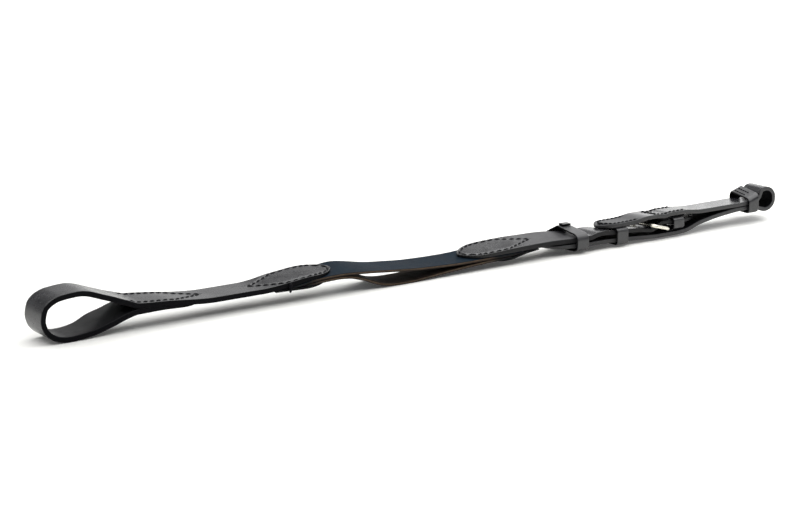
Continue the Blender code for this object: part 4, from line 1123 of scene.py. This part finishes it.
def loop_strap():
    half_ply = LOOP_PLY / 2
    top_z = LOOP_HEIGHT - half_ply
    neck_low = hung(loop_strap_under, PLY_GAP, LOOP_PLY)(LOOP_NECK_X)
    low = arc(LOOP_BOTTOM_X, LOOP_MIDDLE_Z, LOOP_BOTTOM_X - LOOP_LEFT, LOOP_MIDDLE_Z - half_ply, 270, 180, 4)
    reach = (LOOP_TOP_X - LOOP_LEFT, top_z - LOOP_MIDDLE_Z)
    high = arc(LOOP_TOP_X, LOOP_MIDDLE_Z, *reach, 180, 90, 4, LOOP_FULLNESS)
    points = [
        hung(loop_strap_under, PLY_GAP, SKIVED_EDGE)(RETURN_TIP_X),
        hung(loop_strap_under, PLY_GAP, 0.6 * LOOP_PLY)(LOOP_NECK_X + 14.0),
        neck_low,
        (LOOP_NECK_X - 7.0, neck_low[1] - 1.3, LOOP_PLY),
        (LOOP_NECK_X - 17.0, half_ply + 4.5, LOOP_PLY),
        (LOOP_NECK_X - 30.0, half_ply + 1.2, LOOP_PLY),
    ]
    points += [(x, z, LOOP_PLY) for x, z in low + high[1:]]
    points += [
        (LOOP_NECK_X - 20.0, top_z - 0.40 * LOOP_FALL, LOOP_PLY),
        (LOOP_SHOULDER[0], LOOP_SHOULDER[1] + half_ply, LOOP_PLY),
    ]
    run = mid(loop_strap_under, LOOP_PLY)
    flat_start = LOOP_NECK_X + 50.0
    flat_end = LEFT_LAP_START - 16.0
    runs = (LOOP_NECK_X, LOOP_NECK_X + 17.0, flat_start, flat_end, LEFT_LAP_START)
    points += [run(x) for x in runs]
    points += [mid(loop_strap_under, left_lap_ply(x))(x) for x in LEFT_LEAF_STEPS]
    route = Route(points, LEAF_LENGTH, LEAF_LENGTH, (loop_seam.span, left_leaf_seam.span))
    return strip(
        "loop_strap_leather", route, STRAP_SKIN, seed=1.0,
        relief=lambda x, y: loop_seam.depth(x, y) + left_leaf_seam.depth(x, y),
    )


def band_route(depth, middle, left_start, right_end):
    """A band that lies under both leather laps, with its own route between them."""
    left = hung(loop_strap_under, depth, BAND_PLY)
    right = hung(main_strap_under, depth, BAND_PLY)
    points = [hung(loop_strap_under, depth, SKIVED_EDGE)(left_start)]
    points += [left(x) for x in (left_start + 8.0, *LEFT_LEAF_STEPS)]
    points += [(x, z, BAND_PLY) for x, z in middle]
    points += [right(x) for x in (COVER_TIP - 2.0, right_end - 8.0)]
    points.append(hung(main_strap_under, depth, SKIVED_EDGE)(right_end))
    return Route(points)


def upper_band():
    middle = (
        (LEFT_LEAF_TIP + 20.0, LAP_TOP - 2.1),
        (LEFT_LEAF_TIP + 40.0, LAP_TOP - 4.0),
        (RIGHT_LEAF_TIP - 30.0, MAIN_LIFT - 0.7),
        (RIGHT_LEAF_TIP, main_strap_under(RIGHT_LEAF_TIP) - PLY_GAP - BAND_PLY / 2),
    )
    route = band_route(PLY_GAP, middle, LEFT_LAP_START + 3.0, RIGHT_LAP_END - 3.0)
    return strip("upper_band_leather", route, BAND_SKIN, bare_and_shade=undyed_and_shaded_below, seed=2.0)


def lower_band():
    floor = BAND_PLY / 2
    middle = (
        (LEFT_LEAF_TIP + 7.5, LAP_TOP - 3.3),
        (LEFT_LEAF_TIP + 18.0, LAP_TOP - 6.2),
        (SAG_START - 12.0, floor + 3.9),
        (SAG_START - 5.0, floor + 1.4),
        (SAG_START + 1.0, floor + 0.35),
        (SAG_START + 8.0, floor),
        (SAG_END, floor),
        (SAG_END + 8.0, floor + 0.6),
        (RIGHT_LEAF_TIP - 11.0, floor + 2.3),
        (RIGHT_LEAF_TIP + 9.0, floor + 3.6),
    )
    depth = 2.0 * PLY_GAP + BAND_PLY
    route = band_route(depth, middle, LEFT_LAP_START + 12.0, RIGHT_LAP_END - 12.0)
    turned_skin = BAND_SKIN[::-1]
    return strip("lower_band_leather", route, turned_skin, place=settled, bare_and_shade=undyed_and_shaded_below, seed=3.0)


def cover_leaves():
    """The short leaves that close the two laps from below, grain side down, and end on the strap itself."""
    under_skin = STRAP_SKIN[::-1]
    depth = 3.0 * PLY_GAP + 2.0 * BAND_PLY
    below_one = 2.0 * PLY_GAP + BAND_PLY
    steps = ((20.0, depth), (12.0, below_one + 1.05), (3.0, 1.25), (-1.0, 0.6), (-8.0, PLY_GAP))
    left_steps = [(LEFT_LAP_START + inward, low) for inward, low in steps[::-1]]
    left_steps += [(LEFT_LEAF_TIP - 3.0, depth)]
    left_route = cover_route(loop_strap_under, left_steps, 0.0, LEAF_LENGTH)
    right_steps = [(COVER_TIP, depth)]
    right_steps += [(RIGHT_LAP_END - inward, low) for inward, low in steps]
    right_route = cover_route(main_strap_under, right_steps, LEAF_LENGTH, 0.0)
    left_leaf = strip("left_cover_leather", left_route, under_skin, seed=4.0)
    return left_leaf, strip("right_cover_leather", right_route, under_skin, seed=5.0)


def cover_route(under, steps, start_leaf, end_leaf):
    """A cover leaf at depths below the strap: its end that lies on the strap is skived."""
    points = []
    for x, low in steps:
        ply = SKIVED_EDGE if low == PLY_GAP else COVER_PLY
        points.append(hung(under, low, ply)(x))
    return Route(points, start_leaf, end_leaf)


def billet_strap():
    """The strap beyond the split: leaf-shaped lap, main stretch and pointed billet with its holes."""
    stops = main_strap_under.xs
    mains = sorted([x for x in stops if x < SPLICE_START] + [RIGHT_LAP_END])
    thinned = [x for x in stops if SPLICE_START < x < SPLICE_KEEPER_SPAN[1]]
    points = [mid(main_strap_under, right_lap_ply(x))(x) for x in mains]
    points += [mid(main_strap_under, BILLET_PLY)(x) for x in thinned]
    points += [mid(billet_under, BILLET_PLY)(x) for x in sorted((*billet_under.xs, BILLET_KEEPER_SPAN[1]))]
    route = Route(points, LEAF_LENGTH, LEAF_LENGTH, (right_leaf_seam.span,))
    skin_of = [strap_grain, billet_edge, strap_flesh]
    strap = strip("billet_strap_leather", route, skin_of, relief=right_leaf_seam.depth, seed=6.0)
    end = HOLE_WIDTH / 2
    outline = rounded_box(HOLE_LENGTH / 2, -end, end, 0.98 * end, HOLE_CORNER_STEPS)
    for k in range(-HOLES_EACH_WAY, HOLES_EACH_WAY + 1):
        x = HEEL_X - HOLE_TO_HEEL - k * HOLE_PITCH
        middle = leaned(x, 0.0, billet_under(x) + BILLET_PLY / 2)
        places = [middle + Vector((a, b, 0.0)) for a, b in outline]
        cut(strap, prism("billet_hole", places, -1.5 * MAIN_PLY, 1.5 * MAIN_PLY, strap_edge))
    return wear(strap, lambda x: eased(x, SLIDE_WEAR) * eased(x, SLIDE_WEAR_END))


def buckle_strap():
    """Spliced upper strand, end loop and lower strand with its tail, in one length."""
    ply = BUCKLE_STRAP_PLY
    points = [mid(upper_strand_under, 0.6 * ply)(SPLICE_TIP)]
    points += [mid(upper_strand_under, ply)(x) for x in upper_strand_under.xs[1:]]
    loop = arc(END_LOOP_X, END_LOOP_Z, END_LOOP_RADIUS, END_LOOP_RADIUS, 115, -115, 9)
    points.append((LOOP_KEEPER_SPAN[1] + 1.4, END_LOOP_Z + 1.4, ply))
    points += [(x, z, ply) for x, z in loop]
    points += [mid(buckle_strap_under, ply)(x) for x in buckle_strap_under.xs[:0:-1]]
    points.append(mid(buckle_strap_under, 0.4 * ply)(TAIL_TIP))
    route = Route(points, SPLICE_LEAF_LENGTH, LEAF_LENGTH, (splice_seam.span, lining_seam.span))
    strap = strip(
        "buckle_strap_leather", route, BUCKLE_STRAP_SKIN, seed=7.0,
        relief=lambda x, y: splice_seam.depth(x, y) + lining_seam.depth(x, y),
    )
    return wear(strap, lambda x: eased(x, SPLICE_WEAR))


def strand_lining():
    """A thin second layer sewn under the upper strand where it passes over the buckle."""
    layer = hung(upper_strand_under, PLY_GAP, LINING_PLY)
    start = HEEL_X - LINING_BEFORE_HEEL
    length = LINING_BEFORE_HEEL + LINING_AFTER_HEEL
    points = [layer(start + length * k / LINING_STEPS) for k in range(LINING_STEPS + 1)]
    return strip("lining_leather", Route(points), STRAP_SKIN, seed=8.0)


def buckle_chape():
    """A thin leather fold that holds the heel bar on the buckle strap, slotted for the prong."""
    low = mid(lambda x: buckle_strap_under(x) + BUCKLE_STRAP_PLY + PLY_GAP, CHAPE_PLY)
    high = mid(lambda x: CHAPE_TOP - CHAPE_PLY, CHAPE_PLY)
    xs = (CHAPE_END, (CHAPE_END + HEEL_X + 4.5) / 2, HEEL_X + 4.5)
    fold = arc(HEEL_X, HEEL_Z, CHAPE_FOLD_RADIUS, CHAPE_FOLD_RADIUS, -90, -270, 10)
    points = [low(x) for x in xs]
    points += [(x, z, CHAPE_PLY) for x, z in fold]
    points += [high(x) for x in xs[::-1]]
    chape = strip("chape_leather", Route(points), STRAP_SKIN, HALF_WIDTH - CHAPE_SIDE_INSET, seed=9.0)
    slot_half = PRONG_WIDTH / 2 + 2.0 * PLY_GAP
    reach = CHAPE_FOLD_RADIUS + CHAPE_PLY
    slot_ends = (HEEL_X - 2.0 * reach, HEEL_X + 1.5 * reach)
    slot = rounded_box(slot_half, *slot_ends, 0.9 * slot_half, HOLE_CORNER_STEPS)
    places = [leaned(x, y, HEEL_Z) for y, x in slot]
    cut(chape, prism("chape_slot", places, -2.0 * reach, 2.0 * reach, strap_edge))
    return chape


def keeper(
    name, span, low, high, near_gap=KEEPER_SIDE_GAP, skew=0.0, rise=0.0, pitch=0.0, corner=KEEPER_CORNER,
):
    """A closed leather band round the strap; low and high are its inner faces at the near edge.

    Skew draws the left edge of the far side back along the strap below its top, rise lifts the far top
    and pitch slopes the top along x.
    """
    middle = (span[0] + span[1]) / 2
    half = (span[1] - span[0]) / 2
    middle_y = (KEEPER_SIDE_GAP - near_gap) / 2
    inner_half = HALF_WIDTH + (KEEPER_SIDE_GAP + near_gap) / 2
    half_ply = KEEPER_PLY / 2
    box = rounded_box(inner_half + half_ply, low - half_ply, high + half_ply, corner, KEEPER_CORNER_STEPS)
    line = closely(box, RING_STEP)
    faces_of = [point[2] for point in section(half, KEEPER_PLY, UNDER_COLUMNS)]
    rings = []
    rims = []
    for i, (y, z) in enumerate(line):
        before = line[i - 1]
        after = line[(i + 1) % len(line)]
        along = Vector((after[0] - before[0], after[1] - before[1])).normalized()
        outward = (along.y, -along.x)
        far = min(max((y + HALF_WIDTH) / STRAP_WIDTH, 0.0), 1.0)
        top = eased(z, ((low + high) / 2 - KEEPER_PLY, (low + high) / 2 + KEEPER_PLY))
        back = skew * far * eased(z, (high, high - SKEW_DEPTH))
        ring = []
        ring_rims = []
        for across, up, face in section(half, KEEPER_PLY, UNDER_COLUMNS):
            lift = top * (rise * far + pitch * (across + half))
            place = leaned(middle + across, middle_y + y + up * outward[0], z + up * outward[1] + lift)
            drawn = back * (half - across) / (2.0 * half)
            ring.append(place - Vector((drawn, 0.0, 0.0)))
            ring_rims.append(rim_of(across, half, face))
        rings.append(ring)
        rims.append(ring_rims)
    return add_piece(name, skin(rings, True, faces_of, rims), KEEPER_SKIN)


# Buckle

def buckle_turn():
    lean = math.atan(lean_slope(HEEL_X, HEEL_Z))
    turn = Matrix.Rotation(-lean, 4, "X") @ Matrix.Rotation(FRAME_TILT, 4, "Y")
    return Matrix.Translation(leaned(HEEL_X, 0.0, HEEL_Z)) @ turn


def buckle_frame(turn):
    side = HALF_WIDTH + FRAME_SIDE_GAP + WIRE_RADIUS
    box = rounded_box(side, -FRAME_LENGTH, 0.0, FRAME_CORNER, FRAME_CORNER_STEPS)
    outline = closely(box, RING_STEP)
    places = [turn @ Vector((x, y, 0.0)) for y, x in outline]
    rings = []
    for i, place in enumerate(places):
        forward = (places[(i + 1) % len(places)] - places[i - 1]).normalized()
        rings.append(ring_round(place, forward, WIRE_RADIUS, WIRE_SIDES))
    rims = [[0.0] * WIRE_SIDES] * len(rings)
    return add_piece("buckle_frame_plated", skin(rings, True, [0] * WIRE_SIDES, rims), [plated_steel])


def buckle_prong(turn):
    """A flat wire curled round the heel bar, whose shank lies along the frame on the free bar."""
    curl = arc(0.0, 0.0, PRONG_RADIUS, PRONG_RADIUS, -185, 90, 14)
    tip_x = -(FRAME_LENGTH + PRONG_OVERHANG)
    points = [(x, z, PRONG_PLY) for x, z in curl]
    points += [(0.5 * tip_x, PRONG_RADIUS, PRONG_PLY), (tip_x, PRONG_RADIUS, 0.7 * PRONG_PLY)]
    route = Route(points, 0.0, 2.0)
    metal = [prong_steel] * 3
    return strip(
        "buckle_prong_steel", route, metal, PRONG_WIDTH / 2,
        lambda x, y, z: turn @ Vector((x, y, z)), seed=0.0,
    )


settle(loop_strap(), "strap", "strap_leather", "loop_strap")
settle(upper_band(), "strap", "band_leather", "upper_band")
settle(lower_band(), "strap", "band_leather", "lower_band")
left_cover, right_cover = cover_leaves()
settle(left_cover, "strap", "strap_leather", "left_cover_leaf")
settle(right_cover, "strap", "strap_leather", "right_cover_leaf")
settle(billet_strap(), "strap", "strap_leather", "billet_strap")
settle(buckle_strap(), "strap", "strap_leather", "buckle_strap")
settle(strand_lining(), "strap", "strap_leather", "strand_lining")
settle(buckle_chape(), "strap", "strap_leather", "buckle_chape")
heel_turn = buckle_turn()
settle(buckle_frame(heel_turn), "frame", "plated_steel", "buckle_frame")
settle(buckle_prong(heel_turn), "prong", "prong_steel", "buckle_prong")
settle(
    keeper(
        "sliding_keeper_leather", SLIDING_KEEPER_SPAN, SLIDING_KEEPER_LOW, SLIDING_KEEPER_HIGH,
        SLIDING_KEEPER_NEAR_GAP, SLIDING_KEEPER_SKEW, SLIDING_KEEPER_RISE, corner=SLIDING_KEEPER_CORNER,
    ),
    "sliding_keeper", "keeper_leather", "sliding_keeper",
)
settle(
    keeper("splice_keeper_leather", SPLICE_KEEPER_SPAN, SPLICE_KEEPER_LOW, SPLICE_KEEPER_HIGH),
    "strap", "keeper_leather", "splice_keeper",
)
settle(
    keeper(
        "billet_keeper_leather", BILLET_KEEPER_SPAN, BILLET_KEEPER_LOW, BILLET_KEEPER_HIGH,
        corner=BILLET_KEEPER_CORNER,
    ),
    "strap", "keeper_leather", "billet_keeper",
)
settle(
    keeper(
        "loop_keeper_leather", LOOP_KEEPER_SPAN, LOOP_KEEPER_LOW, LOOP_KEEPER_HIGH,
        rise=LOOP_KEEPER_RISE, pitch=LOOP_KEEPER_PITCH, corner=LOOP_KEEPER_CORNER,
    ),
    "loop_keeper", "keeper_leather", "loop_keeper",
)
for seam, name in (
    (loop_seam, "loop_seam"),
    (left_leaf_seam, "left_leaf_seam"),
    (right_leaf_seam, "right_leaf_seam"),
    (splice_seam, "splice_seam"),
    (lining_seam, "lining_seam"),
):
    settle(seam.thread(name + "_stitches", thread), "strap", "waxed_thread", name)


# Small sewn details

def loop_keeper_face(x, y):
    """Height of the loop keeper's outer top, as a level at the near edge."""
    far = (y + HALF_WIDTH) / STRAP_WIDTH
    lift = LOOP_KEEPER_RISE * far + LOOP_KEEPER_PITCH * (x - LOOP_KEEPER_SPAN[0])
    return LOOP_KEEPER_HIGH + KEEPER_PLY + lift


def keeper_stitches():
    """Two short rows of stitches that close the loop keeper on its top."""
    tool = bmesh.new()
    for x in KEEPER_STITCH_ROWS:
        for k in range(KEEPER_STITCH_COUNT):
            stops = []
            for share in (0.0, 0.25, 0.5, 0.75, 1.0):
                y = KEEPER_STITCH_FROM + KEEPER_STITCH_PITCH * (k + 0.7 * share)
                sunk = 0.5 * (2.0 * share - 1.0) ** 2
                height = loop_keeper_face(x, y) + KEEPER_STITCH_RADIUS * (0.5 - 2.0 * sunk)
                stops.append((leaned(x, y, height), KEEPER_STITCH_RADIUS))
            add_tube(tool, stops, THREAD_SIDES)
    return add_piece("loop_keeper_stitches", tool, [thread])


def thread_end():
    """The knotted end of the left leaf's thread, which hangs from the near edge of the strap."""
    x = LEFT_LAP_START + 1.4
    top = loop_strap_under(x) + LOOP_PLY
    stops = ((-0.6, -0.2, 0.7), (-1.6, -0.7, 1.1), (-2.8, -0.9, 1.2), (-4.2, -0.8, 0.9), (-5.8, -0.6, 0.5))
    knot = [(leaned(x + 0.1 * rise, out - HALF_WIDTH, top + rise), radius) for rise, out, radius in stops]
    tool = bmesh.new()
    add_tube(tool, knot, THREAD_SIDES)
    return add_piece("thread_end", tool, [strap_edge])


def keeper_tab():
    """The lapped end of the sliding keeper, sewn down on its far top."""
    middle = (SLIDING_KEEPER_SPAN[0] + SLIDING_KEEPER_SPAN[1]) / 2
    height = SLIDING_KEEPER_HIGH + 1.6 * KEEPER_PLY + 0.9 * SLIDING_KEEPER_RISE
    points = [(middle + step, height, KEEPER_PLY) for step in TAB_STEPS]
    return strip(
        "sliding_keeper_tab", Route(points), KEEPER_SKIN, TAB_WIDTH / 2,
        lambda x, y, z: leaned(x, y + TAB_MIDDLE, z), seed=11.0,
    )


settle(keeper_stitches(), "loop_keeper", "waxed_thread")
settle(thread_end(), "strap", "waxed_thread")
settle(keeper_tab(), "sliding_keeper", "keeper_leather")


# Stage, light and camera

FLOOR_SIZE = 8.0
FLOOR_COLOUR = (0.95, 0.95, 0.92)
# The floor glows for camera rays only, little near the glow centre and more further off. The centre lies left
# of the strap, so the glow lightens its shadow towards the buckle end: painted light.
NEAR_GLOW = 0.04
FAR_GLOW = 0.8
GLOW_CENTRE = (-0.16, 0.0, 0.0)
GLOW_FROM = 0.26
GLOW_TO = 0.75
FILL_STRENGTH = 0.08
STUDIO_DARK = 0.12
STUDIO_BRIGHT_SIDE = (0.62, 0.78, 0.0)
STUDIO_FADE = (0.20, 0.75)
BACKDROP_TOP = (0.27, 0.48)
LAMPS = (
    ("softbox", 2.4, 34.0, (-0.05, 0.14, 1.1), (-0.05, 0.14, 0.0)),
    ("back_panel", 0.45, 0.55, (0.98, 0.92, 0.24), (0.22, 0.0, 0.01)),
    ("right_softbox", 1.0, 3.0, (0.62, 0.12, 0.5), (0.62, 0.12, 0.0)),
    ("front_fill", 0.7, 1.5, (1.15, -0.65, 0.45), (0.25, 0.0, 0.0)),
    ("left_fill", 0.5, 2.2, (-1.2, 0.6, 0.45), (-0.25, 0.0, 0.01)),
)
CAMERA_PLACE = (-1.08325, -1.65281, 0.54841)
CAMERA_TURN_DEGREES = 32.828
CAMERA_PITCH_DEGREES = 15.331
FOCAL_PIXELS = 3520.0
IMAGE_WIDTH = 800.0
SENSOR_WIDTH = 36.0
CLIP_RANGE = (0.05, 50.0)


def blended(tree, share, first, second):
    """A number between two others, which may be values or outputs of other nodes."""
    made = node(tree, "ShaderNodeMix", {0: share, 2: first, 3: second}, data_type="FLOAT")
    return made.outputs[0]


def stage():
    tool = bmesh.new()
    bmesh.ops.create_grid(tool, x_segments=1, y_segments=1, size=FLOOR_SIZE / 2)
    material, tree, shader = new_material("floor")
    place = node(tree, "ShaderNodeTexCoord").outputs["Object"]
    tone = noise_value(tree, place, FLOOR_PATCHES)
    pale = mixed(tree, tone, FLOOR_COLOUR, [0.99 * value for value in FLOOR_COLOUR])
    tree.links.new(pale, shader.inputs["Base Color"])
    shader.inputs["Roughness"].default_value = 0.9
    shader.inputs["Specular IOR Level"].default_value = 0.0
    seen = node(tree, "ShaderNodeLightPath").outputs["Is Camera Ray"]
    away = node(
        tree, "ShaderNodeVectorMath", {0: place, 1: GLOW_CENTRE}, operation="DISTANCE",
    ).outputs["Value"]
    glow = ranged(tree, away, NEAR_GLOW, FAR_GLOW, GLOW_FROM, GLOW_TO)
    shader.inputs["Emission Color"].default_value = (1.0, 1.0, 1.0, 1.0)
    tree.links.new(blended(tree, seen, 0.0, glow), shader.inputs["Emission Strength"])
    add_piece("floor", tool, [material])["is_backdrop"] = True


def world():
    """A white backdrop behind the strap that fades to a dim studio in front of it."""
    made = bpy.data.worlds.new("studio")
    made.use_nodes = True
    tree = made.node_tree
    background = tree.nodes["Background"]
    background.inputs["Color"].default_value = (1.0, 1.0, 1.0, 1.0)
    path = node(tree, "ShaderNodeLightPath")
    way = node(tree, "ShaderNodeTexCoord").outputs["Generated"]
    side = node(tree, "ShaderNodeVectorMath", {0: way, 1: STUDIO_BRIGHT_SIDE}, operation="DOT_PRODUCT")
    backdrop = ranged(tree, side.outputs["Value"], 0.0, 1.0, *STUDIO_FADE)
    height = node(tree, "ShaderNodeSeparateXYZ", {0: way}).outputs["Z"]
    below_top = ranged(tree, height, 1.0, 0.0, *BACKDROP_TOP)
    shown = node(tree, "ShaderNodeMath", {0: backdrop, 1: below_top}, operation="MULTIPLY").outputs[0]
    mirrored = ranged(tree, shown, STUDIO_DARK, 1.0, 0.0, 1.0)
    strength = blended(tree, path.outputs["Is Glossy Ray"], FILL_STRENGTH, mirrored)
    strength = blended(tree, path.outputs["Is Camera Ray"], strength, 1.0)
    tree.links.new(strength, background.inputs["Strength"])
    bpy.context.scene.world = made


def lamp(name, size, power, place, target):
    """A square soft light that faces a target and stays out of the picture."""
    light = bpy.data.lights.new(name, "AREA")
    light.shape = "SQUARE"
    light.size = size
    light.energy = power
    obj = bpy.data.objects.new(name, light)
    ahead = Vector(target) - Vector(place)
    obj.matrix_world = Matrix.Translation(Vector(place)) @ ahead.to_track_quat("-Z", "Y").to_matrix().to_4x4()
    obj.visible_camera = False
    bpy.context.scene.collection.objects.link(obj)


def camera():
    turn = math.radians(CAMERA_TURN_DEGREES)
    pitch = math.radians(CAMERA_PITCH_DEGREES)
    lens = bpy.data.cameras.new("camera")
    lens.sensor_fit = "HORIZONTAL"
    lens.sensor_width = SENSOR_WIDTH
    lens.lens = FOCAL_PIXELS / IMAGE_WIDTH * SENSOR_WIDTH
    lens.clip_start, lens.clip_end = CLIP_RANGE
    obj = bpy.data.objects.new("camera", lens)
    turned = Matrix.Rotation(-turn, 4, "Z") @ Matrix.Rotation(0.5 * math.pi - pitch, 4, "X")
    obj.matrix_world = Matrix.Translation(Vector(CAMERA_PLACE)) @ turned
    bpy.context.scene.collection.objects.link(obj)
    bpy.context.scene.camera = obj


stage()
world()
for settings in LAMPS:
    lamp(*settings)
camera()
bpy.context.scene.view_settings.view_transform = "Standard"

visual_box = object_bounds()
boxes = {"cad": cad_box, "visual": visual_box}
{key: [list(corner) for corner in box] for key, box in boxes.items()}
